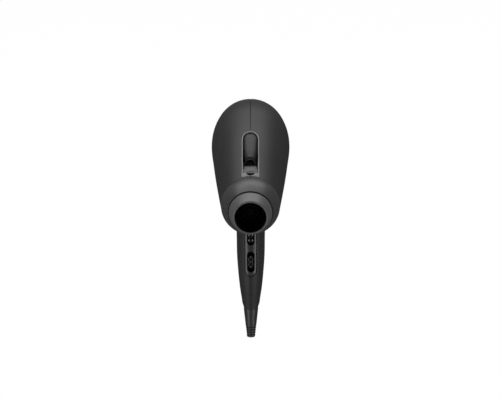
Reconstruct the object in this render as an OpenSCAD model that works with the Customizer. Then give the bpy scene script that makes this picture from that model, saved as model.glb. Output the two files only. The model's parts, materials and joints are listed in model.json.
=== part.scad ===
// Hand-held hair dryer with a tapered nozzle ring, an ion outlet on top of the barrel and two
// controls on the front of the grip. Millimetres. The origin is the middle of the grip, on the
// handle's own line. The nozzle blows towards -Y, the grip runs down -Z, and X = 0 is the
// plane in which the two housing halves meet.

/* [Barrel] */
// Full width of the barrel at its widest place
barrel_width = 90; // [86:1:96]
// Radius of the seam between the front cone and the housing
seam_r = 32.4; // [31.5:0.1:33.5]
// Distance from the nozzle's lip to that seam
seam_y = 36; // [34:0.5:38]
// Distance from the nozzle's lip to the rear cap
rear_y = 205; // [202:1:210]
// Radius of the barrel where the rear cap meets it
rear_r = 37.5; // [37:0.5:39]
// Height of the rear cap's centre above the nozzle's line
rear_rise = 30; // [28:0.5:32]
// Depth of the rear cap's dome
dome_depth = 22; // [18:0.5:26]
// Wall of the moulded shells
wall = 2.2; // [2:0.1:2.6]

/* [Nozzle] */
// Bore radius of the outlet
outlet_r = 17.2; // [16.5:0.1:18]
// Outer radius of the nozzle's lip
lip_r = 19; // [18.6:0.1:19.4]
// Outer radius of the nozzle ring at its rear edge
ring_r = 24.3; // [23.8:0.1:24.8]
// Length of the nozzle ring that shows
ring_depth = 14.4; // [13:0.2:16]
// Width of the dark groove behind the nozzle ring
groove = 0.8; // [0.6:0.1:1.2]

/* [Grip] */
// Distance from the grip's middle forward to the nozzle's lip
outlet_reach = 100; // [98:1:102]
// Height of the nozzle's line above the grip's middle
nozzle_height = 90; // [89:0.5:91]
// Lean of the handle: its foot stands further forward than its top
handle_lean = 9.75; // [9:0.25:10.5]
// Half width of the grip at its top
grip_half = 16.4; // [16:0.1:17]

/* [Controls] */
// Width of the two control wells
well_width = 8.7; // [8.5:0.1:9]
// Travel of the power slider to each side of its middle place
slider_travel = 4.5; // [3:0.1:4.6]
// Travel of the cool button
button_travel = 1.8; // [1:0.1:1.9]

/* [Cord entry] */
// Bore radius of the strain relief
cord_r = 3.6; // [3.3:0.1:3.8]

/* [Fan and motor] */
// Number of fan blades
blades = 9; // [7:1:11]
// Number of stator vanes
vanes = 7; // [5:1:8]
// Tip radius of the fan
fan_r = 31.2; // [30:0.1:31.4]

/* [Hidden] */

$fn = 64;
GAP = 0.15;          // between shells of one body that only fit together
half_w = barrel_width / 2;
barrel_tilt = atan(rear_rise / (rear_y - seam_y));
shaft_r = 1;         // motor shaft
shaft_gap = 0.05;    // running clearance of the shaft in its bushes

// Lines of the barrel, each row: distance behind the lip, half width, top and underside.
BARREL = [
    [seam_y, seam_r, seam_r, -seam_r],
    [60, 0.79 * half_w, 44.3, -32.2],
    [90, 0.875 * half_w, 59.2, -30],
    [120, 0.945 * half_w, 71.2, -27],
    [150, half_w, 79.7, -22],
    [180, 0.935 * half_w, 76.2, -15],
    [rear_y, rear_r, rear_rise + rear_r, rear_rise - rear_r]];
BARREL_SIDES = 40;
BARREL_STEP = 11;

// Lines of the handle, each row: height along it, half width, front and back.
HANDLE = [
    [-64, 8.7, -9, 9],
    [-50, 10.5, -12, 11.4],
    [-35, 12.7, -15.8, 14],
    [-15, 14.7, -18.6, 17],
    [5, 16, -19, 19],
    [30, grip_half, -19, 20],
    [46, 1.06 * grip_half, -20.2, 22],
    [60, 1.3 * grip_half, -26, 25],
    [78, 1.5 * grip_half, -33, 30]];
HANDLE_SIDES = 28;
HANDLE_STEP = 10;
BOSS_FN = 20;

// Clamp of the mains lead: height, and distance of its two screws from the middle
clamp_s = -35;
clamp_x = 5.8;

// Ends of the grip
foot_s = -50.6;      // centre of the rounded foot
foot_r = 10.4;
socket_r = 8.6;      // room for the strain relief in the foot

// Control panel on the front of the grip
panel_half = 6.6;
panel_top = 42;
panel_tip = -18.2;
panel_back = -14.4;  // flat back of the panel, ahead of the switch plate
slider_well = [-13.1, 11.5];
button_well = [18.6, 38];
slider_s = -0.8;
lobe_s = [24.7, 31.3];
stem_s = 28;
switch_front = -5.8; // face of the button's micro switch
board_front = 0.6;
tongue_half = 2.8;   // tongue of the slider
slot_half = tongue_half + slider_travel + 0.3;

// Ion outlet on top of the barrel
jet_half = 9.8;      // half width over the rim
jet_open = 8.2;      // half width of the recess
jet_front = 38.6;
jet_rear = 101;
jet_floor = 35.75;   // height of the floor in front of the tunnel
mouth_y = 62;        // the tunnel's mouth

// Heater, motor and fan, as distances behind the seam along their own line
heater = [4, 64];
duct = [68, 150];
motor = [80, 110];
duct_r = 32;
can_r = 14;
bush_r = 3;

// Screws that hold the halves together, each [distance behind the lip, height]
SCREWS = [[194, 52], [194, 2], [119, -46], [100, -116.4]];

// Routes of the leads, in the barrel's frame
ION_ROUTE = [[0, 133.5, 61.75], [0, 130, 60], [0, 124, 55.4], [0, 116, 51.4], [0, 108, 49.6],
             [0, 102, 48.6], [0, 94, 47.4], [0, 88, 45], [0, 84, 42.2]];
LEAD_ROUTE = [[0, 108.6, -61], [0, 110.6, -53], [0, 111.6, -45.5], [0, 111, -38], [0, 107, -31],
              [0, 101, -27], [0, 94, -25.4], [0, 86, -26], [0, 78, -26.4]];

// ---------------------------------------------------------------- curves and frames

// Slope of column c at row i of a table of lines
function slope(t, i, c) =
    let (a = max(i - 1, 0), b = min(i + 1, len(t) - 1))
    (t[b][c] - t[a][c]) / (t[b][0] - t[a][0]);
function row_before(t, x, i = 0) =
    (i >= len(t) - 2 || x <= t[i + 1][0]) ? i : row_before(t, x, i + 1);
// Smooth curve through column c of a table of lines, held level past both ends
function along(t, x, c) =
    let (v = min(max(x, t[0][0]), t[len(t) - 1][0]),
         i = row_before(t, v),
         h = t[i + 1][0] - t[i][0],
         s = (v - t[i][0]) / h)
    (1 + 2 * s) * pow(1 - s, 2) * t[i][c] + s * pow(1 - s, 2) * h * slope(t, i, c)
    + (3 - 2 * s) * s * s * t[i + 1][c] - (1 - s) * s * s * h * slope(t, i + 1, c);
function steps(a, b, step) =
    let (n = ceil((b - a) / step)) [for (i = [0:n]) a + (b - a) * i / n];

// Elliptical rings of the barrel and of the handle, drawn in by inset
function barrel_ring(y, inset) =
    let (a = along(BARREL, y, 1) - inset,
         top = along(BARREL, y, 2) - inset,
         low = along(BARREL, y, 3) + inset)
    [for (k = [0:BARREL_SIDES - 1])
        let (g = 360 * k / BARREL_SIDES)
        [a * cos(g), y, (top + low) / 2 + (top - low) / 2 * sin(g)]];
function handle_ring(s, inset) =
    let (a = along(HANDLE, s, 1) - inset,
         front = along(HANDLE, s, 2) + inset,
         back = along(HANDLE, s, 3) - inset)
    [for (k = [0:HANDLE_SIDES - 1])
        let (g = 360 * k / HANDLE_SIDES)
        [a * cos(g), (front + back) / 2 + (back - front) / 2 * sin(g), s]];

// The barrel's own frame: origin at the centre of the nozzle's lip
module barrel() translate([0, -outlet_reach, nozzle_height]) children();
// The line of the heater, motor and fan, from the seam's centre up to the rear cap's centre
module fan_line() barrel() translate([0, seam_y, 0]) rotate([barrel_tilt, 0, 0]) children();
// The handle's own frame: its line along Z
module handle() rotate([-handle_lean, 0, 0]) children();
// Rounds of [radius, distance] about the Y axis
module turned(points) rotate([-90, 0, 0]) rotate_extrude() polygon(points);
module tube(r_out, r_in, from, to)
    turned([[r_in, from], [r_out, from], [r_out, to], [r_in, to]]);
module rod(r, from, to)
    translate([0, from, 0]) rotate([-90, 0, 0]) cylinder(r = r, h = to - from);
// Bar along X
module cross_rod(r, from, to)
    translate([from, 0, 0]) rotate([0, 90, 0]) cylinder(r = r, h = to - from);

module band(ring_a, ring_b)
    hull() polyhedron(concat(ring_a, ring_b),
        [[for (k = [0:len(ring_a) - 1]) k],
         [for (k = [0:len(ring_b) - 1]) 2 * len(ring_a) - 1 - k]]);
module barrel_solid(inset, from, to) {
    ys = steps(from, to, BARREL_STEP);
    for (i = [0:len(ys) - 2]) band(barrel_ring(ys[i], inset), barrel_ring(ys[i + 1], inset));
}
module handle_solid(inset, from, to) {
    ss = steps(from, to, HANDLE_STEP);
    for (i = [0:len(ss) - 2]) band(handle_ring(ss[i], inset), handle_ring(ss[i + 1], inset));
}

// Flat bar with round ends along Z, from depth y0 to y1
module pill(half, low, high, y0, y1) {
    translate([-half, y0, low + half]) cube([2 * half, y1 - y0, high - low - 2 * half]);
    for (s = [low + half, high - half]) translate([0, 0, s]) rod(half, y0, y1);
}

// Tube along a route, with its ring's directions worked out from its neighbours
function unit(v) = v / norm(v);
function route_dir(p, i) =
    unit(p[min(i + 1, len(p) - 1)] - p[max(i - 1, 0)]);
module swept(p, r, sides = 8) {
    n = len(p);
    points = [for (i = [0:n - 1])
        let (d = route_dir(p, i), u = unit(cross(d, [1, 0.01, 0.02])), w = cross(d, u))
        for (k = [0:sides - 1])
            p[i] + r * (cos(360 * k / sides) * u + sin(360 * k / sides) * w)];
    walls = [for (i = [0:n - 2]) for (k = [0:sides - 1])
        let (a = i * sides + k, b = i * sides + (k + 1) % sides)
        each [[a, b, b + sides], [a, b + sides, a + sides]]];
    polyhedron(points, concat(
        [[for (k = [sides - 1:-1:0]) k]],
        walls,
        [[for (k = [0:sides - 1]) (n - 1) * sides + k]]));
}

// ---------------------------------------------------------------- housing

// Outline of the ion outlet seen from above: square front, round rear
module jet_outline(half, front, rear, low, high)
    translate([0, 0, low]) linear_extrude(high - low) union() {
        translate([-half, front]) square([2 * half, rear - half - front]);
        translate([0, rear - half]) circle(half);
    }
// Outline of the control panel seen from the front: a round top and a drawn-in foot
module panel_outline(grow)
    rotate([90, 0, 0]) translate([0, 0, 8]) linear_extrude(20) union() {
        translate([0, panel_top - panel_half]) circle(panel_half + grow);
        translate([-panel_half - grow, panel_tip + 8])
            square([2 * (panel_half + grow), panel_top - panel_half - panel_tip - 8]);
        translate([0, panel_tip + 8]) intersection_for (side = [-1, 1])
            translate([side * 1.9, 0]) circle(panel_half + 1.9 + grow);
    }

module housing_body() {
    barrel() barrel_solid(0, seam_y, rear_y);
    handle() intersection() {
        handle_solid(0, -64, 77);
        union() {
            translate([0, 0, foot_s]) rod(foot_r, -20, 20);
            translate([-30, -50, foot_s]) cube([60, 100, 130]);
        }
    }
}
module housing_hollow() {
    barrel() {
        barrel_solid(wall, seam_y - 2, rear_y + 2);
        jet_outline(jet_half + GAP, jet_front - GAP, jet_rear + GAP, 20, 90);
    }
    handle() {
        handle_solid(wall, -49, 80);
        translate([0, 0, -66]) cylinder(r = socket_r, h = 18, $fn = 32);
        panel_outline(GAP);
    }
}
// Screw bosses: a tower from each half's wall to the parting plane
module bosses() barrel() for (p = SCREWS) translate([0, p[0], p[1]])
    cross_rod(4.2, -46, 46, $fn = BOSS_FN);
// Posts that take the screws of the cord clamp
module clamp_posts() handle() for (x = [-clamp_x, clamp_x]) translate([x, 0, clamp_s])
    rod(2, -16, 0.9, $fn = BOSS_FN);
module screw_holes() barrel() for (p = SCREWS) translate([0, p[0], p[1]]) {
    cross_rod(3.3, -50, -7, $fn = BOSS_FN);
    cross_rod(1.6, -8, 12, $fn = BOSS_FN);
}
module housing_half(side) {
    difference() {
        intersection() {
            union() {
                difference() {
                    housing_body();
                    housing_hollow();
                }
                intersection() {
                    housing_body();
                    union() {
                        bosses();
                        clamp_posts();
                    }
                }
            }
            translate([side > 0 ? 0 : -60, -120, -90]) cube([60, 260, 290]);
        }
        screw_holes();
        handle() for (x = [-clamp_x, clamp_x]) translate([x, 0, clamp_s])
            rod(1.1, -7, 2, $fn = BOSS_FN);
    }
}
module left_housing() color("dimgray") housing_half(-1);
module right_housing() color("dimgray") housing_half(1);

// Domed cone between the nozzle ring and the housing
module front_cone() color("dimgray") barrel() {
    front = ring_depth + groove;
    steps_n = 12;
    dome = [for (i = [0:steps_n]) let (t = i / steps_n)
        [ring_r - 0.1 + (seam_r - ring_r + 0.1) * sin(90 * t), front + (seam_y - front) * t]];
    spigot_r = seam_r - wall - 0.3;
    turned(concat(dome, [
        [spigot_r, seam_y], [spigot_r, seam_y + 5],
        [spigot_r - 1.5, seam_y + 5], [spigot_r - 1.5, seam_y - 3],
        [ring_r - 1.4, front + 4], [ring_r - 1.4, front]]));
}

// Tapered ring around the outlet, with the bore that attachments enter
module nozzle_ring() color("gray") barrel()
    turned([
        [outlet_r + 0.5, 0], [lip_r - 0.6, 0], [lip_r, 0.6],
        [ring_r, ring_depth], [ring_r - 1.6, ring_depth],
        [ring_r - 1.6, 26], [ring_r - 2.8, 26], [ring_r - 2.8, 17],
        [outlet_r, 17], [outlet_r, 0.5]]);

// Guard in the outlet: a rim, two hoops and radial spokes
module outlet_grille() color("black") barrel() {
    front = 17.2;
    back = 20;
    rim = ring_r - 2.9;
    tube(rim, rim - 2, front, back);
    for (r = [8, 13.5]) tube(r + 0.6, r - 0.6, front, back);
    for (k = [0:11]) rotate([0, 30 * k, 0])
        translate([-0.5, front, 3.2]) cube([1, back - front, rim - 4.2]);
    rod(4, front, back);
}

// ---------------------------------------------------------------- ion outlet

// Height of the recess floor: level ahead of the tunnel, rising behind it
jet_line = [[jet_front - 5, jet_floor], [mouth_y, jet_floor],
            [jet_rear, along(BARREL, jet_rear, 2) - 2.2]];
module under_line(line, drop, low)
    translate([jet_half + 1, 0, 0]) rotate([90, 0, -90]) linear_extrude(2 * jet_half + 2)
        polygon(concat([for (p = line) [-p[0], p[1] - drop]],
                       [[-line[len(line) - 1][0], low], [-line[0][0], low]]));
module tunnel_roof() {
    ys = steps(mouth_y, jet_rear - 6, 4);
    sides = 16;
    function arch(y) =
        let (floor_z = lookup(y, jet_line),
             rise = along(BARREL, y, 2) - 0.9 - floor_z)
        [for (k = [0:sides]) let (g = 180 * k / sides)
            [8.5 * cos(g), y, floor_z - 0.5 + (rise + 0.5) * sin(g)]];
    for (i = [0:len(ys) - 2]) band(arch(ys[i]), arch(ys[i + 1]));
}
module ion_jet_insert() color("dimgray") barrel() difference() {
    union() {
        difference() {
            intersection() {
                barrel_solid(0, seam_y, jet_rear + 6);
                jet_outline(jet_half, jet_front, jet_rear, 20, 90);
            }
            under_line(jet_line, 1.8, 0);
            intersection() {
                jet_outline(jet_open, 43.5, jet_rear - 1.6, 20, 90);
                difference() {
                    translate([-20, 30, 20]) cube([40, 90, 70]);
                    under_line(jet_line, 0, 0);
                }
            }
        }
        tunnel_roof();
    }
    // Tunnel with an arched mouth, level along the barrel
    translate([0, 0, jet_floor + 2]) rod(4.3, mouth_y - 1, mouth_y + 22);
    translate([-4.3, mouth_y - 1, jet_floor]) cube([8.6, 23, 2]);
    // Small window in the front lip
    translate([0, 41, 30]) linear_extrude(20) intersection() {
        circle(4);
        translate([-5, -2]) square([10, 3]);
    }
}
module needle_holder() color("ivory") barrel() difference() {
    translate([-3.8, 77, jet_floor + 0.3]) cube([7.6, 5, 4.8]);
    for (x = [-2, 2]) translate([x, 0, jet_floor + 2.6]) rod(0.6, 76, 83);
}
module ion_needles() color("silver") barrel() for (x = [-2, 2])
    translate([x, 0, jet_floor + 2.6]) {
        rod(0.5, 68, 84);
        turned([[0, 65.5], [0.5, 68], [0, 68]]);
    }
module ion_generator() color("navy") barrel()
    translate([-13, 134, 56.5]) cube([26, 24, 11.5]);
module ion_lead() color("red") barrel() swept(ION_ROUTE, 0.9);

// ---------------------------------------------------------------- controls

module handle_panel() color("gray") handle() difference() {
    intersection() {
        handle_solid(0, -22, 46);
        panel_outline(0);
        translate([-10, -30, -30]) cube([20, 30 + panel_back, 90]);
    }
    for (w = [slider_well, button_well]) pill(well_width / 2, w[0], w[1], -25, -10);
}

// Carrier behind the panel: the floor of both wells, with the button's spring cup
module switch_plate() color("black") handle() difference() {
    union() {
        translate([-6, panel_back + 0.2, -15.5]) cube([12, 2, 55]);
        translate([0, 0, stem_s]) rod(4.2, panel_back + 0.2, -8);
    }
    translate([-1.8, -20, slider_s - slot_half]) cube([3.6, 12, 2 * slot_half]);
    translate([0, 0, stem_s]) {
        rod(3.4, -20, -9);
        rod(1.9, -10, -7);
    }
}
module cool_button() color("black") handle() {
    for (s = lobe_s) translate([0, 0, s])
        turned([[0, -19.5], [1.6, -19.3], [2.9, -18.6], [3.5, -17.6], [3.5, -16.6], [0, -16.6]]);
    translate([-2.6, -18, lobe_s[0]]) cube([5.2, 1.4, lobe_s[1] - lobe_s[0]]);
    translate([0, 0, stem_s]) rod(1.6, -17, switch_front - 0.3 - button_travel);
}
module cool_button_spring() color("silver") handle() translate([0, 0, stem_s]) {
    turns = 5;
    swept([for (i = [0:turns * 12]) let (g = 30 * i)
        [2.5 * cos(g), -16.2 + 6.8 * i / (turns * 12), 2.5 * sin(g)]], 0.35);
}
module cool_switch() color("darkslategray") handle()
    translate([-3.2, switch_front, 21.5]) cube([6.4, board_front - switch_front, 13]);
// Knob with three raised dots, and the tongue that drives the switch
module power_slider() color("black") handle() {
    pill(2.8, slider_s - 7.4, slider_s + 7.4, -18.3, panel_back - 0.1);
    for (k = [-1, 0, 1]) translate([0, -18.3, slider_s + 5.8 * k])
        turned([[0, -0.5], [0.5, -0.4], [0.8, 0], [0, 0]]);
    translate([-1.5, panel_back - 0.5, slider_s - tongue_half]) cube([3, 10.4, 2 * tongue_half]);
}
module slide_switch() color("darkslategray") handle() difference() {
    translate([-5, -7, slider_s - 13]) cube([10, board_front + 7, 26]);
    translate([-2, -8, slider_s - slot_half]) cube([4, 5, 2 * slot_half]);
}
module switch_board() color("darkgreen") handle()
    translate([-6.5, board_front, -16]) cube([13, 1.6, 54]);
module suppression_capacitor() color("goldenrod") handle()
    translate([-5, board_front + 1.6, -8]) cube([10, 6, 13]);

// ---------------------------------------------------------------- cord entry

// Tapered guard, round all the way, with flex grooves towards its end
relief_top = -46;
relief_foot = -95;
RELIEF = [[-50, 7.2], [-52, 8.4], [-60, 8.4], [-63, 8.2], [-78, 6.6], [-94, 4.8], [relief_foot, 4.4]];
relief_grooves = [-82, -85, -88, -91];
module strain_relief() color("dimgray") handle() {
    shoulder = [for (p = RELIEF) if (p[0] > -80) [p[1], p[0]]];
    flexing = [for (g = relief_grooves) for (q = [[0, 0], [0.9, 0], [0.9, 1.2], [0, 1.2]])
        [lookup(g - q[1], RELIEF) - q[0], g - q[1]]];
    rotate_extrude() polygon(concat(
        [[cord_r, relief_top], [7.2, relief_top]], shoulder, flexing,
        [[4.8, -94], [4.4, relief_foot], [cord_r, relief_foot]]));
}
module cord_clamp() color("ivory") handle() difference() {
    translate([-7.9, 1, clamp_s - 4]) cube([15.8, 4.5, 8]);
    cylinder(r = cord_r, h = 100, center = true);
    for (x = [-clamp_x, clamp_x]) translate([x, 0, clamp_s]) rod(1.2, 0, 9);
}
module clamp_screws() color("silver") handle()
    for (x = [-clamp_x, clamp_x]) translate([x, 0, clamp_s]) {
        rod(1, -6, 5.5);
        rod(1.8, 5.5, 7.1);
    }
module housing_screws() color("silver") barrel() for (p = SCREWS) translate([0, p[0], p[1]]) {
    difference() {
        cross_rod(2.9, -9.4, -7.2);
        for (turn = [0, 90]) rotate([turn, 0, 0])
            translate([-10, -2, -0.4]) cube([1.6, 4, 0.8]);
    }
    cross_rod(1.3, -7.3, 9);
}
module inner_leads() color("white") barrel() for (x = [-4, 0, 4])
    translate([x, 0, 0]) swept(LEAD_ROUTE, 1.1);

// ---------------------------------------------------------------- heater

module heater_sleeve() color("lightgray") fan_line() tube(27, 26.2, heater[0], heater[1]);
module mica_frame() color("tan") fan_line() for (turn = [0, 90]) rotate([0, turn, 0]) {
    translate([-22, 6, -0.4]) cube([44, 56, 0.8]);
    for (y = [6, 58]) translate([-26, y, -0.4]) cube([52, 4, 0.8]);
}
module heating_coils() color("silver") fan_line() for (k = [0:8])
    translate([0, 14 + 5 * k, 0]) rotate([-90, 0, 0])
        rotate_extrude() translate([22.9, 0]) circle(0.7);
module thermostat() color("silver") fan_line() {
    translate([3, 30, 4]) cube([9, 16, 5]);
    translate([4, 32, 9]) cube([7, 12, 0.6]);
}
module thermal_fuse() color("white") fan_line() translate([-8, 0, 8]) {
    rod(2, 30, 42);
    rod(0.5, 24, 48);
}

// ---------------------------------------------------------------- fan and motor

// Duct with stator vanes and the motor's seat
module fan_duct() color("black") fan_line() {
    tube(duct_r + 1.5, duct_r, duct[0], duct[1]);
    tube(can_r + 1.8, can_r + 0.2, motor[0], motor[1] - 2);
    for (k = [0:vanes - 1]) rotate([0, 360 * k / vanes, 0])
        translate([-0.75, motor[0] + 2, can_r + 1.5])
            cube([1.5, 22, duct_r - can_r - 1.2]);
}
module motor_can() color("silver") fan_line() {
    tube(can_r, can_r - 1, motor[0] + 4, motor[1]);
    tube(can_r, bush_r, motor[1] - 1.2, motor[1]);
}
module motor_magnets() color("darkslategray") fan_line() for (side = [0, 180])
    rotate([0, side, 0]) translate([0, motor[0] + 7, 0]) rotate([-90, -60, 0])
        rotate_extrude(angle = 120) translate([11.4, 0]) square([1.5, 20]);
module motor_end_cap() color("ivory") fan_line() {
    tube(can_r, bush_r, motor[0], motor[0] + 1.5);
    tube(can_r, can_r - 1.5, motor[0], motor[0] + 4);
}
module motor_bearings() color("goldenrod") fan_line() {
    tube(bush_r, shaft_r + shaft_gap, motor[0] - 1, motor[0] + 2.5);
    tube(bush_r, shaft_r + shaft_gap, motor[1] - 2.5, motor[1] + 0.5);
}
module motor_brushes() color("black") fan_line() for (side = [-1, 1])
    translate([side * 6.4 - 2.5, motor[0] + 4.5, -1.5]) cube([5, 3, 3]);
module motor_rotor() color("slategray") fan_line() difference() {
    tube(10.8, shaft_r, motor[0] + 11, motor[0] + 25);
    for (k = [0:4]) rotate([0, 72 * k, 0])
        translate([-0.8, motor[0] + 10, 7]) cube([1.6, 16, 6]);
}
module rotor_windings() color("orange") fan_line() {
    tube(9.6, 3.8, motor[0] + 8.6, motor[0] + 11);
    tube(9.6, 3.8, motor[0] + 25, motor[0] + 26.8);
}
module commutator() color("peru") fan_line() difference() {
    tube(3.6, shaft_r, motor[0] + 3.2, motor[0] + 8.4);
    for (k = [0:4]) rotate([0, 72 * k, 0])
        translate([-0.15, motor[0] + 3, 3.1]) cube([0.3, 5, 1]);
}
module motor_shaft() color("silver") fan_line() rod(shaft_r, motor[0] - 4, 140);
module fan_impeller() color("dimgray") fan_line() {
    front = 118;
    back = 140;
    difference() {
        turned([[shaft_r, front], [9, front], [9, 131], [7.6, 135.5], [4, 138.6],
                [shaft_r, 139.4]]);
        tube(7.6, 2.6, front - 1, 131);
    }
    intersection() {
        tube(fan_r, 8.6, front, back - 3);
        for (k = [0:blades - 1]) rotate([0, 360 * k / blades, 0])
            translate([0, (front + back) / 2 - 1.5, 8.6]) rotate([0, 0, 38])
                translate([-0.6, -14, 0]) cube([1.2, 28, fan_r]);
    }
}
module motor_board() color("darkgreen") fan_line() tube(13, 3.4, motor[0] - 3, motor[0] - 1.4);
module rectifier_diodes() color("black") fan_line() for (k = [0:3]) rotate([0, 45 + 90 * k, 0])
    translate([0, 0, 9]) rod(1.6, motor[0] - 9, motor[0] - 3);

// ---------------------------------------------------------------- rear cap

cap_y = rear_y + 0.3;
dome_r = (rear_r * rear_r + dome_depth * dome_depth) / (2 * dome_depth);
module cap_frame() barrel() translate([0, cap_y, rear_rise]) children();
// Domed inlet grille: rim, hoops and spokes cut from one spherical shell
module rear_cap() color("dimgray") cap_frame() {
    intersection() {
        translate([0, dome_depth - dome_r, 0]) difference() {
            sphere(dome_r);
            sphere(dome_r - 2.2);
        }
        union() {
            tube(rear_r + 1, 31, 0, 40);
            for (r = [9, 13.5, 18, 22.5, 27]) tube(r + 0.9, r - 0.9, 0, 40);
            rod(5.5, 0, 40);
            for (k = [0:11]) rotate([0, 30 * k, 0]) translate([-0.9, 0, 4]) cube([1.8, 40, 29]);
        }
    }
    tube(34.8, 33.2, -6, 1.6);
}
module filter_ring() color("black") cap_frame() tube(33, 30, -5.5, -1.5);
module filter_mesh() color("gray") cap_frame() rod(29.8, -4, -3.4);

left_housing();
right_housing();
front_cone();
nozzle_ring();
outlet_grille();
ion_jet_insert();
needle_holder();
ion_needles();
ion_generator();
ion_lead();
handle_panel();
switch_plate();
cool_button();
cool_button_spring();
cool_switch();
power_slider();
slide_switch();
switch_board();
suppression_capacitor();
strain_relief();
cord_clamp();
clamp_screws();
housing_screws();
inner_leads();
heater_sleeve();
mica_frame();
heating_coils();
thermostat();
thermal_fuse();
fan_duct();
motor_can();
motor_magnets();
motor_end_cap();
motor_bearings();
motor_brushes();
motor_rotor();
rotor_windings();
commutator();
motor_shaft();
fan_impeller();
motor_board();
rectifier_diodes();
rear_cap();
filter_ring();
filter_mesh();
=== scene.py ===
"""Hand-held hair dryer: shells, controls, inlet and finishes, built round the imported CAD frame."""

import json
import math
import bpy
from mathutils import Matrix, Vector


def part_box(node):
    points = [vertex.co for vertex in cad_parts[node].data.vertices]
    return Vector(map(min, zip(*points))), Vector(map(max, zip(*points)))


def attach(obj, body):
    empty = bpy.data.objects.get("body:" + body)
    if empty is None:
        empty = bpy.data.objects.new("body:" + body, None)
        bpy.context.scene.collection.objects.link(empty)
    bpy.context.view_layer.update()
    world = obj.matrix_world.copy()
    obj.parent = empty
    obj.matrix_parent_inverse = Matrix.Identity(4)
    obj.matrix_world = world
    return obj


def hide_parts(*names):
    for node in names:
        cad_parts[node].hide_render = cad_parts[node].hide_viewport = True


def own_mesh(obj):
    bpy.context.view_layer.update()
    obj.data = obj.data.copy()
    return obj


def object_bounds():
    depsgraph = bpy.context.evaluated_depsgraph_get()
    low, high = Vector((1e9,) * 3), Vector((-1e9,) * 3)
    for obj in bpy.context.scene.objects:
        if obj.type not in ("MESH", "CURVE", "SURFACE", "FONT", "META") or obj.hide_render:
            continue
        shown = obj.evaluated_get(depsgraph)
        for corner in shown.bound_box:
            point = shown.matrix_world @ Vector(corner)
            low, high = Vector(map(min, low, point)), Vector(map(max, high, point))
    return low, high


bl_info = {
    "name": "Hair dryer",
    "version": (1, 0, 0),
    "blender": (4, 5, 0),
    "location": "3D View > Sidebar > Hair dryer",
    "description": "Builds the moulded shells, controls, inlet and finishes of a hand-held hair dryer",
    "category": "Add Mesh",
}

import bmesh
import bpy
import numpy as np
from bpy.props import FloatProperty, FloatVectorProperty, IntProperty, PointerProperty
from mathutils import Quaternion, Vector

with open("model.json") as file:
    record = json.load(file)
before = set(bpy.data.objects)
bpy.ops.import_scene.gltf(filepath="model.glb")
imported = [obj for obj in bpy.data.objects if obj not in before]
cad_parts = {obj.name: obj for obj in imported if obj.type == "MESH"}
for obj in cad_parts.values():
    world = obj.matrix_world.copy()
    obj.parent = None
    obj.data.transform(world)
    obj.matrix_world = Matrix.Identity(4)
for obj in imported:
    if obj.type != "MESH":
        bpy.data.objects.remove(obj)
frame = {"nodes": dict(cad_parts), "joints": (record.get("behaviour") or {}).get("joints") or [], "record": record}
CAD_BOX = [list(corner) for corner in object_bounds()]
JOINTS = {j["name"]: j for j in frame["joints"]}
MM = 0.001

# Centre of the nozzle's lip, in millimetres: the barrel's own frame starts there.
_ring_low, _ring_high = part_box("nozzle_ring")
LIP = np.array([0.0, _ring_low.y, (_ring_low.z + _ring_high.z) / 2]) / MM

# Lines of the barrel: distance behind the lip, half width, top, underside.
BARREL = [
    [36, 32.4, 32.4, -32.4],
    [60, 35.55, 44.3, -32.2],
    [90, 39.375, 59.2, -30],
    [120, 42.525, 71.2, -27],
    [150, 45, 79.7, -22],
    [180, 42.075, 76.2, -15],
    [205, 37.5, 67.5, -7.5],
]
# Lines of the handle: height along it, half width, front, back.
HANDLE = [
    [-64, 8.7, -9, 9],
    [-50, 10.5, -12, 11.4],
    [-35, 12.7, -15.8, 14],
    [-15, 14.7, -18.6, 17],
    [5, 16, -19, 19],
    [30, 16.4, -19, 20],
    [46, 17.4, -20.2, 22],
    [80, 19.4, -23, 25.4],
]
# Strain relief: height along the handle's line, radius.
RELIEF = [[-94, 4.8], [-86, 5.65], [-78, 6.6], [-70, 7.44], [-63, 8.2], [-60, 8.4], [-52, 8.4]]
RELIEF_GROOVES = np.array([-82.6, -85.6, -88.6, -91.6])
# Housing screws: distance behind the lip, height over it.
SCREWS = [(194, 52), (194, 2), (119, -46), (100, -116.4)]
# Control panel: half width, top and tip along the handle's line, and how far forward its back lies.
PANEL_HALF, PANEL_TOP, PANEL_TIP, PANEL_BACK = 6.6, 42.0, -18.2, -14.4
# Wells of the slider and the button (low end, high end), and the middles of the two controls in them.
WELLS = [(-13.1, 11.5), (18.6, 38.0)]
WELL_HALF = 4.35
SLIDER_S, BUTTON_S = -0.8, 28.0
# Ion outlet: height of its floor over the lip's centre, the tunnel's mouth, and the outlet's two ends.
JET_FLOOR, MOUTH_Y, JET_FRONT, JET_REAR = 35.75, 66.0, 38.6, 101.0
# Half widths of its frame and of the recess inside the rim, back edge of its front lip, and the tunnel's bore.
JET_HALF, RECESS_HALF, JET_LIP, JET_BORE = 9.75, 8.45, 43.6, 4.4
# Outlet bore: radius, and the depth of the black sleeve that lines it, a painted shade for the bore's inside.
BORE_RADIUS, BORE_DEPTH = 17.2, 17.0


# ---------------------------------------------------------------- settings


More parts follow.
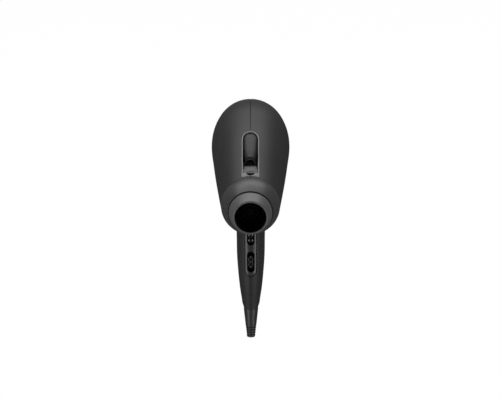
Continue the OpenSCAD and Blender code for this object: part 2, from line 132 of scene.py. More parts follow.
class DryerSizes(bpy.types.PropertyGroup):
    """Sizes that a user would change. The CAD frame sets the rest."""

    handle_lean: FloatProperty(
        name="Handle lean", description="How far the handle's foot stands forward", default=math.radians(9.75),
        subtype="ANGLE")
    wall: FloatProperty(
        name="Wall", description="Wall of the moulded shells", default=0.0022, unit="LENGTH")
    seam_gap: FloatProperty(
        name="Seam gap", description="Width of the joint line between the two halves", default=0.0006, unit="LENGTH")
    seam_depth: FloatProperty(
        name="Seam depth", description="Depth of that line", default=0.0013, unit="LENGTH")
    fillet: FloatProperty(
        name="Fillet", description="Round where the handle meets the barrel", default=0.011, unit="LENGTH")
    panel_gap: FloatProperty(
        name="Panel gap", description="Shadow gap round the control panel", default=0.0008, unit="LENGTH")
    net_pitch: FloatProperty(
        name="Net pitch", description="Spacing of the lint net's threads", default=0.0016, unit="LENGTH")
    blades: IntProperty(
        name="Blades", description="Blades of the fan", default=9, min=5, max=13)


class DryerColours(bpy.types.PropertyGroup):
    """Base colours of the finishes."""

    housing: FloatVectorProperty(
        name="Housing", description="Charcoal of the moulded halves", subtype="COLOR", default=(0.046, 0.046, 0.047))
    front: FloatVectorProperty(
        name="Front cone", description="Charcoal of the front cone and rear cap", subtype="COLOR",
        default=(0.075, 0.075, 0.076))
    ring: FloatVectorProperty(
        name="Nozzle ring", description="Graphite of the nozzle ring", subtype="COLOR", default=(0.14, 0.14, 0.142))
    # Painted light: the outlet's frame is of the housing's plastic, and this lighter grey stands in for the light on
    # its up-facing ramp and front band.
    insert: FloatVectorProperty(
        name="Ion outlet", description="Grey of the ion outlet's frame", subtype="COLOR",
        default=(0.19, 0.19, 0.192))
    control: FloatVectorProperty(
        name="Controls", description="Black of the button and the slider", subtype="COLOR",
        default=(0.004, 0.004, 0.0043))
    guard: FloatVectorProperty(
        name="Strain relief", description="Charcoal of the strain relief", subtype="COLOR",
        default=(0.046, 0.046, 0.047))


class StudioSettings(bpy.types.PropertyGroup):
    """Camera, floor and lights."""

    distance: FloatProperty(
        name="Camera distance", description="From the camera to the nozzle's lip", default=1.6, unit="LENGTH")
    pitch: FloatProperty(
        name="Camera pitch", description="How far the camera looks down", default=math.radians(22.2),
        subtype="ANGLE")
    lens: FloatProperty(
        name="Lens", description="Focal length on a 36 mm sensor", default=107.5, unit="CAMERA")
    side_step: FloatProperty(
        name="Camera side step", description="Angle by which the camera stands to the right of the barrel's line",
        default=math.radians(0.16), subtype="ANGLE")
    aim_up: FloatProperty(
        name="Aim above the lip", description="Angle from the nozzle's lip up to the camera's line of sight",
        default=math.radians(0.6907), subtype="ANGLE")
    aim_side: FloatProperty(
        name="Aim beside the lip", description="Angle from the nozzle's lip across to the camera's line of sight",
        default=math.radians(0.0153), subtype="ANGLE")
    roll: FloatProperty(
        name="Camera roll", description="Turn of the camera about its line of sight", default=math.radians(0.2),
        subtype="ANGLE")
    floor_drop: FloatProperty(
        name="Floor drop", description="From the strain relief's end down to the floor", default=0.003,
        unit="LENGTH")
    key: FloatProperty(
        name="Top light", description="Power of the softbox overhead", default=21.0, unit="POWER")
    side: FloatProperty(
        name="Side lights", description="Power of the two boxes beside the camera", default=6.0, unit="POWER")


def sizes():
    """The sizes in the scene that is open."""
    return bpy.context.scene.dryer_sizes


def colours():
    """The colours in the scene that is open."""
    return bpy.context.scene.dryer_colours


def studio():
    """The studio settings in the scene that is open."""
    return bpy.context.scene.dryer_studio


# ---------------------------------------------------------------- curves and frames


def along(rows, x, column):
    """Smooth line through one column of a table. Between two rows it is the cubic with the rows' own values and slopes;
    a row's slope is the chord between its two neighbours; past both ends the line is level."""
    table = np.asarray(rows, float)
    key, value = table[:, 0], table[:, column]
    last = len(key) - 1
    low = np.maximum(np.arange(last + 1) - 1, 0)
    high = np.minimum(np.arange(last + 1) + 1, last)
    slope = (value[high] - value[low]) / (key[high] - key[low])
    x = np.clip(x, key[0], key[-1])
    i = np.clip(np.searchsorted(key, x, side="right") - 1, 0, last - 1)
    span = key[i + 1] - key[i]
    s = (x - key[i]) / span
    return (
        (1 + 2 * s) * (1 - s) ** 2 * value[i]
        + s * (1 - s) ** 2 * span * slope[i]
        + (3 - 2 * s) * s * s * value[i + 1]
        - (1 - s) * s * s * span * slope[i + 1]
    )


def turns(count):
    """count angles, evenly round a circle, none of them on the plane X = 0."""
    return (np.arange(count) + 0.5) * 2 * np.pi / count


def from_barrel(points):
    """Barrel frame (origin at the lip's centre, +Y to the rear) to the part's frame."""
    return points + LIP


def from_handle(points):
    """Handle frame (+Z up its line, front at -Y) to the part's frame: a turn about X by the lean."""
    lean = sizes().handle_lean
    x, y, s = points[..., 0], points[..., 1], points[..., 2]
    return np.stack(
        [x, y * math.cos(lean) + s * math.sin(lean), s * math.cos(lean) - y * math.sin(lean)], -1
    )


def from_fan(points):
    """Fan frame (+Y along the motor's shaft, origin at the seam's centre) to the part's frame: a turn about X."""
    axis = np.array(JOINTS["fan_spin"]["axis"])
    x, y, z = points[..., 0], points[..., 1], points[..., 2]
    turned_points = np.stack([x, y * axis[1] - z * axis[2], y * axis[2] + z * axis[1]], -1)
    return turned_points + np.array(JOINTS["fan_spin"]["pos_m"]) / MM - 129.0 * axis


def from_cap(points):
    """Cap frame (origin where the rear cap meets the barrel, on its centre) to the part's frame."""
    low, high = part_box("filter_ring")
    return points + np.array([0, low.y / MM + 5.5, (low.z + high.z) / 2 / MM])


def barrel_skin(y, angle, inset=0.0):
    """Ellipse whose half width, top and underside come from the BARREL table, drawn in by inset."""
    half = along(BARREL, y, 1) - inset
    top = along(BARREL, y, 2) - inset
    low = along(BARREL, y, 3) + inset
    return np.stack(
        np.broadcast_arrays(half * np.cos(angle), y, (top + low) / 2 + (top - low) / 2 * np.sin(angle)), -1
    )


def handle_skin(s, angle, inset=0.0):
    """Ellipse whose half width, front and back come from the HANDLE table, drawn in by inset."""
    half = along(HANDLE, s, 1) - inset
    front = along(HANDLE, s, 2) + inset
    back = along(HANDLE, s, 3) - inset
    return np.stack(
        np.broadcast_arrays(half * np.cos(angle), (front + back) / 2 + (back - front) / 2 * np.sin(angle), s), -1
    )


def meets_barrel(angle, grow):
    """Height at which each line of the handle, grown outwards, passes through the barrel's skin: halving, 40 times,
    on the sign of (x / half width)^2 + ((z - middle) / half height)^2 - 1."""
    low, high = np.full(angle.shape, 30.0), np.full(angle.shape, 90.0)
    for _ in range(40):
        middle = (low + high) / 2
        p = from_handle(handle_skin(middle, angle, -grow)) - LIP
        half, top, under = (along(BARREL, p[..., 1], c) for c in (1, 2, 3))
        outside = (p[..., 0] / half) ** 2 + ((p[..., 2] - (top + under) / 2) / ((top - under) / 2)) ** 2 > 1
        low, high = np.where(outside, middle, low), np.where(outside, high, middle)
    return (low + high) / 2


# ---------------------------------------------------------------- meshes


def grid_faces(rows, columns, wrap_rows=False):
    """Quads of a grid of points numbered row by row; the columns close round, and the rows too if asked."""
    r = np.arange(rows if wrap_rows else rows - 1)[:, None]
    c = np.arange(columns)[None, :]
    n = (c + 1) % columns
    up = ((r + 1) % rows) * columns
    return np.stack(np.broadcast_arrays(r * columns + c, r * columns + n, up + n, up + c), -1).reshape(-1, 4)


def closed_loft(rings):
    """Skin over a stack of rings, each end closed by a fan from its own centre."""
    n, m = rings.shape[:2]
    points = np.concatenate([rings.reshape(-1, 3), rings[:1].mean(1), rings[-1:].mean(1)])
    k = np.arange(m)
    j = (k + 1) % m
    first = np.stack([np.full(m, n * m), j, k], -1)
    last = np.stack([np.full(m, n * m + 1), (n - 1) * m + k, (n - 1) * m + j], -1)
    return points, grid_faces(n, m).tolist() + first.tolist() + last.tolist()


def closed_ring(rings):
    """Skin over rings that close on themselves: a torus of any section."""
    n, m = rings.shape[:2]
    return rings.reshape(-1, 3), grid_faces(n, m, True).tolist()


def gathered(parts):
    """Several sets of points and faces as one."""
    points, faces, start = [], [], 0
    for p, f in parts:
        points.append(p)
        faces += [[i + start for i in face] for face in f]
        start += len(p)
    return np.concatenate(points), faces


def turned(profile, sides, to_part, axis="Y"):
    """A closed profile of (radius, distance) carried round an axis of a frame."""
    profile = np.asarray(profile, float)
    r, t = profile[:, :1], profile[:, 1:]
    a = turns(sides)[None]
    x, z = r * np.cos(a), r * np.sin(a)
    t = np.broadcast_to(t, x.shape)
    return to_part(np.stack([x, t, z] if axis == "Y" else [x, z, t], -1))


def eased(corners, cut, steps=6):
    """A closed outline with each corner cut back by its own length and rounded: the parabola whose control points
    are the cut's two ends and the corner."""
    p = np.asarray(corners, float)
    cut = np.broadcast_to(cut, len(p))[:, None]
    back, on = np.roll(p, 1, 0) - p, np.roll(p, -1, 0) - p
    long_back = np.linalg.norm(back, axis=1, keepdims=True)
    long_on = np.linalg.norm(on, axis=1, keepdims=True)
    a = p + back / long_back * np.minimum(cut, 0.45 * long_back)
    b = p + on / long_on * np.minimum(cut, 0.45 * long_on)
    q = np.linspace(0, 1, steps)[None, :, None]
    return ((1 - q) ** 2 * a[:, None] + 2 * q * (1 - q) * p[:, None] + q * q * b[:, None]).reshape(-1, p.shape[1])


def swept(path, radius, sides, aside):
    """Tube along a path: at each point a circle in the plane across the path's slope; aside is a direction that the
    path never takes."""
    slope = np.gradient(path, axis=0)
    slope /= np.linalg.norm(slope, axis=1, keepdims=True)
    u = np.cross(slope, aside)
    u /= np.linalg.norm(u, axis=1, keepdims=True)
    w = np.cross(slope, u)
    a = turns(sides)[None, :, None]
    return path[:, None] + radius * (np.cos(a) * u[:, None] + np.sin(a) * w[:, None])


def prism(outline, start, end, lay):
    """A flat outline carried straight from start to end; lay(u, v, t) puts its points in place."""
    outline = np.asarray(outline, float)
    t = np.array([[start], [end]], float)
    u, v, t = np.broadcast_arrays(outline[None, :, 0], outline[None, :, 1], t)
    return closed_loft(lay(u, v, t))


def make(name, parts, sharp=32.0):
    """A mesh object from points in millimetres and faces, turned outwards, smooth but for edges sharper than sharp."""
    points, faces = parts
    mesh = bpy.data.meshes.new(name)
    mesh.from_pydata((points * MM).tolist(), [], faces)
    shaped = bmesh.new()
    shaped.from_mesh(mesh)
    if shaped.calc_volume(signed=True) < 0:
        bmesh.ops.reverse_faces(shaped, faces=shaped.faces)
        shaped.to_mesh(mesh)
    shaped.free()
    mesh.update()
    piece = bpy.data.objects.new(name, mesh)
    bpy.context.scene.collection.objects.link(piece)
    smooth(piece, sharp)
    return piece


def smooth(piece, sharp):
    piece.data.shade_smooth()
    piece.data.set_sharp_from_angle(angle=math.radians(sharp))


def carve(piece, steps, sharp=32.0):
    """Applies a row of (operation, tool object) to a piece; the tools stay for other pieces."""
    for operation, tool in steps:
        change = piece.modifiers.new(operation.lower(), "BOOLEAN")
        change.operation, change.solver, change.object = operation, "EXACT", tool
    bpy.context.view_layer.update()
    shaped = piece.evaluated_get(bpy.context.evaluated_depsgraph_get())
    mesh = bpy.data.meshes.new_from_object(shaped)
    old = piece.data
    piece.modifiers.clear()
    piece.data = mesh
    bpy.data.meshes.remove(old)
    if len(mesh.polygons) == 0:
        raise RuntimeError(f"{piece.name} came out empty")
    smooth(piece, sharp)
    return piece


def drop(*tools):
    for tool in tools:
        bpy.data.objects.remove(tool, do_unlink=True)


def stands_for(piece, slot, body, *nodes):
    """Gives a finished piece its finish, its body and the CAD nodes it stands for."""
    piece.data.materials.clear()
    piece.data.materials.append(finish(slot))
    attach(piece, body)
    if nodes:
        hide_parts(*nodes)
    return piece


# ---------------------------------------------------------------- shader groups


def new_group(name, inputs, outputs):
    """An empty shader group: inputs are (name, default), outputs are (name, socket type)."""
    group = bpy.data.node_groups.new(name, "ShaderNodeTree")
    for label, value in inputs:
        kind = "NodeSocketColor" if isinstance(value, tuple) else "NodeSocketFloat"
        socket = group.interface.new_socket(label, in_out="INPUT", socket_type=kind)
        socket.default_value = value
    for label, kind in outputs:
        group.interface.new_socket(label, in_out="OUTPUT", socket_type=kind)
    return group, group.nodes.new("NodeGroupInput"), group.nodes.new("NodeGroupOutput")


def node(tree, kind, links=(), **values):
    """A node with some values set; links are (input, socket that feeds it)."""
    made = tree.nodes.new(kind)
    for key, value in values.items():
        setattr(made, key, value)
    for target, source in links:
        if isinstance(source, bpy.types.NodeSocket):
            tree.links.new(source, made.inputs[target])
        else:
            made.inputs[target].default_value = source
    return made


def maths(tree, operation, a, b=0.0, clamp=False):
    return node(tree, "ShaderNodeMath", [(0, a), (1, b)], operation=operation, use_clamp=clamp).outputs[0]


def spark_texture():
    """Spark-eroded mould surface: fine noise over small round cells, as a height, and a slower noise that varies gloss
    and shade."""
    name = "spark_texture"
    if name in bpy.data.node_groups:
        return bpy.data.node_groups[name]
    g, into, out = new_group(
        name,
        [("Cell Size", 0.35), ("Gloss Variation", 0.06), ("Roughness", 0.45)],
        [("Height", "NodeSocketFloat"), ("Roughness", "NodeSocketFloat"), ("Shade", "NodeSocketFloat")],
    )
    where = node(g, "ShaderNodeTexCoord").outputs["Object"]
    scale = maths(g, "DIVIDE", 1000.0, into.outputs["Cell Size"])
    fine = node(g, "ShaderNodeTexNoise", [("Vector", where), ("Scale", scale), ("Detail", 3.0), ("Roughness", 0.6)])
    cells = node(g, "ShaderNodeTexVoronoi", [("Vector", where), ("Scale", scale)], feature="SMOOTH_F1")
    slow = node(g, "ShaderNodeTexNoise", [("Vector", where), ("Scale", 38.0), ("Detail", 4.0), ("Roughness", 0.55)])
    height = maths(g, "MULTIPLY_ADD", fine.outputs["Fac"], 0.7)
    height.node.inputs[2].default_value = 0.0
    both = maths(g, "ADD", height, maths(g, "MULTIPLY", cells.outputs["Distance"], 0.45))
    g.links.new(both, out.inputs["Height"])
    swing = maths(g, "MULTIPLY", maths(g, "SUBTRACT", slow.outputs["Fac"], 0.5), into.outputs["Gloss Variation"])
    g.links.new(maths(g, "ADD", into.outputs["Roughness"], swing), out.inputs["Roughness"])
    g.links.new(slow.outputs["Fac"], out.inputs["Shade"])
    return g


def edge_wear():
    """Worn and rounded edges: the normal is averaged over a small radius, and where it turns away from the plain
    normal, broken up by noise, the mask rises."""
    name = "edge_wear"
    if name in bpy.data.node_groups:
        return bpy.data.node_groups[name]
    g, into, out = new_group(
        name,
        [("Radius", 0.0004), ("Amount", 1.0)],
        [("Mask", "NodeSocketFloat"), ("Normal", "NodeSocketVector")],
    )
    round_edge = node(g, "ShaderNodeBevel", [("Radius", into.outputs["Radius"])], samples=6)
    plain = node(g, "ShaderNodeNewGeometry").outputs["Normal"]
    turn = node(g, "ShaderNodeVectorMath", [(0, round_edge.outputs[0]), (1, plain)], operation="DOT_PRODUCT")
    away = maths(g, "SUBTRACT", 1.0, turn.outputs["Value"])
    where = node(g, "ShaderNodeTexCoord").outputs["Object"]
    broken = node(g, "ShaderNodeTexNoise", [("Vector", where), ("Scale", 420.0), ("Detail", 5.0)]).outputs["Fac"]
    mask = maths(g, "MULTIPLY", maths(g, "MULTIPLY", away, 6.0), broken)
    g.links.new(maths(g, "MULTIPLY", mask, into.outputs["Amount"], clamp=True), out.inputs["Mask"])
    g.links.new(round_edge.outputs[0], out.inputs["Normal"])
    return g


def settled_dust():
    """Light dust on faces that look up: the normal's height, raised to a power and broken up by noise."""
    name = "settled_dust"
    if name in bpy.data.node_groups:
        return bpy.data.node_groups[name]
    g, into, out = new_group(name, [("Amount", 0.05)], [("Mask", "NodeSocketFloat")])
    normal = node(g, "ShaderNodeNewGeometry").outputs["Normal"]
    up = node(g, "ShaderNodeSeparateXYZ", [(0, normal)]).outputs["Z"]
    where = node(g, "ShaderNodeTexCoord").outputs["Object"]
    specks = node(g, "ShaderNodeTexNoise", [("Vector", where), ("Scale", 900.0), ("Detail", 6.0)]).outputs["Fac"]
    flat = maths(g, "POWER", maths(g, "MAXIMUM", up, 0.0), 3.0)
    mask = maths(g, "MULTIPLY", maths(g, "MULTIPLY", flat, specks), into.outputs["Amount"], clamp=True)
    g.links.new(mask, out.inputs["Mask"])
    return g


def drawn_lines():
    """Fine lines left by drawing, rolling or winding: noise stretched along one axis by a mapping."""
    name = "drawn_lines"
    if name in bpy.data.node_groups:
        return bpy.data.node_groups[name]
    g, into, out = new_group(
        name,
        [("Scale", 900.0), ("Stretch", 18.0)],
        [("Height", "NodeSocketFloat"), ("Shade", "NodeSocketFloat")],
    )
    where = node(g, "ShaderNodeTexCoord").outputs["Object"]
    stretch = node(g, "ShaderNodeCombineXYZ", [("X", 1.0), ("Z", 1.0)])
    g.links.new(maths(g, "DIVIDE", 1.0, into.outputs["Stretch"]), stretch.inputs["Y"])
    laid = node(g, "ShaderNodeVectorMath", [(0, where), (1, stretch.outputs[0])], operation="MULTIPLY")
    lines = node(g, "ShaderNodeTexNoise", [("Vector", laid.outputs[0]), ("Scale", into.outputs["Scale"]),
                                           ("Detail", 4.0)])
    slow = node(g, "ShaderNodeTexNoise", [("Vector", where), ("Scale", 60.0), ("Detail", 3.0)])
    g.links.new(lines.outputs["Fac"], out.inputs["Height"])
    g.links.new(slow.outputs["Fac"], out.inputs["Shade"])
    return g


# ---------------------------------------------------------------- finishes


def placed(tree, group, **values):
    """A group node with its own values."""
    made = tree.nodes.new("ShaderNodeGroup")
    made.node_tree = group
    for label, value in values.items():
        made.inputs[label.replace("_", " ")].default_value = value
    return made


def blank(name):
    """A material with only its Principled shader and output."""
    material = bpy.data.materials.new(name)
    material.use_nodes = True
    tree = material.node_tree
    tree.nodes.clear()
    shader = tree.nodes.new("ShaderNodeBsdfPrincipled")
    out = tree.nodes.new("ShaderNodeOutputMaterial")
    tree.links.new(shader.outputs[0], out.inputs["Surface"])
    return material, tree, shader


def shaded(tree, colour, shade, spread, mask=None, worn=None, dust=None):
    """Base colour that swings round its own value with a slow noise, goes to the worn colour at edges and to pale grey
    under dust."""
    low = tuple(c * (1 - spread) for c in colour) + (1.0,)
    high = tuple(min(1.0, c * (1 + spread)) for c in colour) + (1.0,)
    result = node(tree, "ShaderNodeMix", [(0, shade), (6, low), (7, high)], data_type="RGBA").outputs[2]
    if mask is not None:
        result = node(tree, "ShaderNodeMix", [(0, mask), (6, result), (7, tuple(worn) + (1.0,))],
                      data_type="RGBA").outputs[2]
    if dust is not None:
        result = node(tree, "ShaderNodeMix", [(0, dust), (6, result), (7, (0.42, 0.41, 0.39, 1.0))],
                      data_type="RGBA").outputs[2]
    return result


def moulded(name, colour, roughness, cell=0.35, depth=0.05, coat=0.0, edge=0.0004, wear=0.5, dust=0.02, ior=1.49,
            spread=0.1):
    """Moulded plastic or rubber: spark texture for bump, gloss and shade, rounded edges that are slightly polished."""
    material, tree, shader = blank(name)
    skin = placed(tree, spark_texture(), Cell_Size=cell, Roughness=roughness)
    rim = placed(tree, edge_wear(), Radius=edge, Amount=wear)
    film = placed(tree, settled_dust(), Amount=dust)
    base = shaded(tree, colour, skin.outputs["Shade"], spread, rim.outputs["Mask"],
                  [min(1.0, c * 1.9 + 0.01) for c in colour], film.outputs["Mask"])
    tree.links.new(base, shader.inputs["Base Color"])
    polished = maths(tree, "MULTIPLY", rim.outputs["Mask"], 0.12)
    tree.links.new(maths(tree, "SUBTRACT", skin.outputs["Roughness"], polished), shader.inputs["Roughness"])
    bump = node(tree, "ShaderNodeBump", [("Strength", depth), ("Distance", 0.0002),
                                         ("Height", skin.outputs["Height"]), ("Normal", rim.outputs["Normal"])])
    tree.links.new(bump.outputs[0], shader.inputs["Normal"])
    shader.inputs["IOR"].default_value = ior
    shader.inputs["Coat Weight"].default_value = coat
    shader.inputs["Coat Roughness"].default_value = 0.08
    return material


def metal(name, colour, roughness, scale=900.0, stretch=18.0, depth=0.12, wear=0.3):
    """Drawn or rolled metal: stretched noise for bump, a slow noise for stain, brighter edges."""
    material, tree, shader = blank(name)
    lines = placed(tree, drawn_lines(), Scale=scale, Stretch=stretch)
    rim = placed(tree, edge_wear(), Radius=0.0002, Amount=wear)
    base = shaded(tree, colour, lines.outputs["Shade"], 0.16, rim.outputs["Mask"],
                  [min(1.0, c * 1.25) for c in colour])
    tree.links.new(base, shader.inputs["Base Color"])
    rough = maths(tree, "MULTIPLY_ADD", lines.outputs["Height"], 0.16)
    rough.node.inputs[2].default_value = roughness - 0.08
    tree.links.new(rough, shader.inputs["Roughness"])
    bump = node(tree, "ShaderNodeBump", [("Strength", depth), ("Distance", 0.0001),
                                         ("Height", lines.outputs["Height"]), ("Normal", rim.outputs["Normal"])])
    tree.links.new(bump.outputs[0], shader.inputs["Normal"])
    shader.inputs["Metallic"].default_value = 1.0
    return material


def layered(name, colour, roughness, scale=260.0, depth=0.2):
    """Pressed or laminated sheet: flakes from large cells over fine lines."""
    material, tree, shader = blank(name)
    where = node(tree, "ShaderNodeTexCoord").outputs["Object"]
    flakes = node(tree, "ShaderNodeTexVoronoi", [("Vector", where), ("Scale", scale)], feature="F1")
    lines = placed(tree, drawn_lines(), Scale=1400.0, Stretch=6.0)
    shade = node(tree, "ShaderNodeSeparateColor", [(0, flakes.outputs["Color"])]).outputs[0]
    tree.links.new(shaded(tree, colour, shade, 0.22), shader.inputs["Base Color"])
    rough = maths(tree, "MULTIPLY_ADD", shade, 0.2)
    rough.node.inputs[2].default_value = roughness - 0.1
    tree.links.new(rough, shader.inputs["Roughness"])
    bump = node(tree, "ShaderNodeBump", [("Strength", depth), ("Distance", 0.0001),
                                         ("Height", lines.outputs["Height"])])
    tree.links.new(bump.outputs[0], shader.inputs["Normal"])
    return material


def finish(slot):
    """The material of one of the record's slots, built the first time it is asked for."""
    name = slot + "_finish"
    if name in bpy.data.materials:
        return bpy.data.materials[name]
    c = colours()
    built = {
        "housing_plastic": lambda: moulded(name, c.housing, 0.5, cell=0.4, depth=0.06, dust=0.012, ior=1.36),
        "front_plastic": lambda: moulded(name, c.front, 0.44, cell=0.3, depth=0.04, dust=0.012, wear=0.25),
        "ring_plastic": lambda: moulded(name, c.ring, 0.46, cell=0.25, depth=0.03, edge=0.0003, dust=0.01),
        # painted light: the ion outlet's lighter grey stands in for the light on its ramp and front band
        "insert_plastic": lambda: moulded(name, c.insert, 0.42, cell=0.25, depth=0.03, edge=0.0003, dust=0.01),
        "panel_plastic": lambda: moulded(name, c.housing, 0.33, cell=0.25, depth=0.03, edge=0.0003, dust=0.005,
                                         wear=0.2),
        "control_plastic": lambda: moulded(name, c.control, 0.24, cell=0.6, depth=0.02, coat=0.3, dust=0.0),
        # black plastic, darkened to near nothing beyond its own colour as painted shade, so that the outlet's lit
        # insides read as shade
        "black_plastic": lambda: moulded(name, (0.002, 0.002, 0.0022), 0.85, cell=0.5, depth=0.08, dust=0.0, wear=0.1,
                                         ior=1.25),
        "guard_rubber": lambda: moulded(name, c.guard, 0.36, cell=0.5, depth=0.06, edge=0.0003, dust=0.004),
        "white_plastic": lambda: moulded(name, (0.74, 0.73, 0.68), 0.45, depth=0.05, wear=0.1),
        "lead_white": lambda: moulded(name, (0.7, 0.7, 0.67), 0.38, cell=0.6, depth=0.03, wear=0.0),
        "lead_red": lambda: moulded(name, (0.42, 0.02, 0.02), 0.38, cell=0.6, depth=0.03, wear=0.0),
        "component_blue": lambda: moulded(name, (0.015, 0.03, 0.13), 0.35, cell=0.8, depth=0.03),
        "component_yellow": lambda: moulded(name, (0.62, 0.42, 0.07), 0.3, cell=0.8, depth=0.02, coat=0.2),
        "carbon": lambda: moulded(name, (0.02, 0.02, 0.02), 0.42, cell=0.15, depth=0.15),
        "filter_net": lambda: moulded(name, (0.03, 0.03, 0.032), 0.6, cell=0.12, depth=0.1, wear=0.0, dust=0.08),
        "board": lambda: layered(name, (0.02, 0.1, 0.045), 0.35, scale=700.0),
        # painted shade: the mica is drawn dark brown-black, darker than mica, for the heater seen deep inside the
        # outlet
        "mica": lambda: layered(name, (0.05, 0.036, 0.022), 0.42),
        "ceramic_white": lambda: layered(name, (0.78, 0.77, 0.73), 0.6, scale=1200.0, depth=0.3),
        "magnet": lambda: layered(name, (0.05, 0.05, 0.055), 0.55, scale=1500.0, depth=0.4),
        "core_steel": lambda: metal(name, (0.2, 0.2, 0.21), 0.48, scale=2600.0, stretch=0.1, depth=0.3),
        "steel": lambda: metal(name, (0.5, 0.5, 0.51), 0.34),
        "zinc_steel": lambda: metal(name, (0.58, 0.58, 0.55), 0.4, stretch=3.0),
        "resistance_wire": lambda: metal(name, (0.2, 0.18, 0.17), 0.45, stretch=2.0),
        "bronze": lambda: metal(name, (0.5, 0.34, 0.17), 0.5, stretch=1.0, depth=0.3),
        "copper": lambda: metal(name, (0.68, 0.3, 0.14), 0.32, scale=2400.0, stretch=0.2, depth=0.3),
    }
    return built[slot]()


# ---------------------------------------------------------------- housings


def handle_rings(a):
    """The handle from inside the barrel down to its foot, all rings on the same angles.
    Flare: parabola from the handle, through the line where it would pierce the barrel, out along the barrel's skin.
    Grip: the HANDLE ellipses. Foot: they end on a half circle as seen from the front."""
    reach = sizes().fillet / MM
    pierced = meets_barrel(a, 0.0)
    spread = meets_barrel(a, reach)
    corner = handle_skin(pierced, a)
    start = handle_skin(pierced - reach, a)
    outer = handle_skin(spread, a, -reach) + [0, 0, 0.12]
    inside = handle_skin(pierced + 12, a)
    q = np.linspace(1, 0, 18)[:, None, None]
    flare = (1 - q) ** 2 * start + 2 * q * (1 - q) * corner + q * q * outer
    top = pierced - reach
    v = np.linspace(0, 1, 60)[1:, None]
    grip = handle_skin(top * (1 - v) - 40 * v, a[None])
    end = np.full(len(a), -56.0)
    for _ in range(12):
        x = along(HANDLE, end, 1) * np.cos(a)
        end = -50.6 - np.sqrt(np.maximum(10.4**2 - x**2, 0.0))
    v = np.linspace(0, 1, 24)[1:, None]
    foot = handle_skin(-40 * (1 - v) + end * v, a[None])
    return np.concatenate([inside[None], flare, grip, foot])


def jet_outline(half, front, rear, count=40):
    """Seen from above: square front, half circle at the rear."""
    t = np.linspace(0, np.pi, count)
    arc = np.stack([half * np.cos(t), rear - half + half * np.sin(t)], -1)
    return np.concatenate([[[half, front]], arc, [[-half, front]]])


def panel_outline(grow, count=28):
    """Seen from the front: round top, straight sides, and a foot between two circles whose centres stand apart."""
    t = np.linspace(0, np.pi, count)
    half = PANEL_HALF + grow
    top = np.stack([half * np.cos(t), PANEL_TOP - PANEL_HALF + half * np.sin(t)], -1)
    radius = half + 1.9
    lowest = -math.sqrt(radius**2 - 1.9**2)
    s = np.linspace(0, 1, count) ** 0.5 * lowest
    side = np.stack([-(np.sqrt(radius**2 - s**2) - 1.9), PANEL_TIP + 8 + s], -1)
    return np.concatenate([top, side, (side * [-1, 1])[-2::-1]])


def pill_outline(half, low, high, count=48):
    """Straight sides and round ends."""
    t = turns(count)
    centre = np.where(np.sin(t) >= 0, high - half, low + half)
    return np.stack([half * np.cos(t), centre + half * np.sin(t)], -1)


def lay_barrel_up(u, v, t):
    return from_barrel(np.stack([u, v, t], -1))


def lay_handle_front(u, v, t):
    return from_handle(np.stack([u, t, v], -1))


def lay_across(centre):
    """Outline in the Y and Z of the barrel frame, carried along X."""
    return lambda u, v, t: from_barrel(np.stack([t, u + centre[0], v + centre[1]], -1))


def circle(radius, count=36):
    t = turns(count)
    return np.stack([radius * np.cos(t), radius * np.sin(t)], -1)


def seam_cutter(name, path):
    """Thin blade along a line in the plane X = 0, standing across it from just outside the skin to the seam's depth."""
    half, depth = sizes().seam_gap / MM / 2, sizes().seam_depth / MM
    slope = np.gradient(path, axis=0)
    slope /= np.linalg.norm(slope, axis=1, keepdims=True)
    away = np.stack([slope[:, 1], -slope[:, 0]], -1)
    outer, inner = path + 1.5 * away, path - depth * away
    rings = np.stack(
        [np.insert(p, 0, x, 1) for p, x in ((outer, -half), (outer, half), (inner, half), (inner, -half))], 1
    )
    return make(name, closed_loft(rings))


def seam_paths():
    """Lines of the skin in the plane X = 0: over the barrel, down the handle's front, and up its back."""
    lines = from_handle(handle_rings(np.radians([90.0, 270.0])))[1:, :, 1:]
    back, front = lines[:, 0], lines[:, 1]
    y_front = np.linspace(34, front[0, 0] - LIP[1], 60)[:-1]
    y_back = np.linspace(back[0, 0] - LIP[1], 207, 60)[1:]
    under_front = np.stack([y_front, along(BARREL, y_front, 3)], -1) + LIP[1:]
    under_back = np.stack([y_back, along(BARREL, y_back, 3)], -1) + LIP[1:]
    y_top = np.linspace(207, 34, 90)
    over = np.stack([y_top, along(BARREL, y_top, 2)], -1) + LIP[1:]
    return [np.concatenate([under_front, front]), np.concatenate([back[::-1], under_back]), over]


def solid_body(name):
    """Barrel and handle as one closed body."""
    y = np.linspace(36.15, 205, 120)[:, None]
    barrel = make(name, closed_loft(from_barrel(barrel_skin(y, turns(176)[None]))))
    handle = make(name + "_handle", closed_loft(from_handle(handle_rings(turns(144)))))
    carve(barrel, [("UNION", handle)])
    drop(handle)
    return barrel


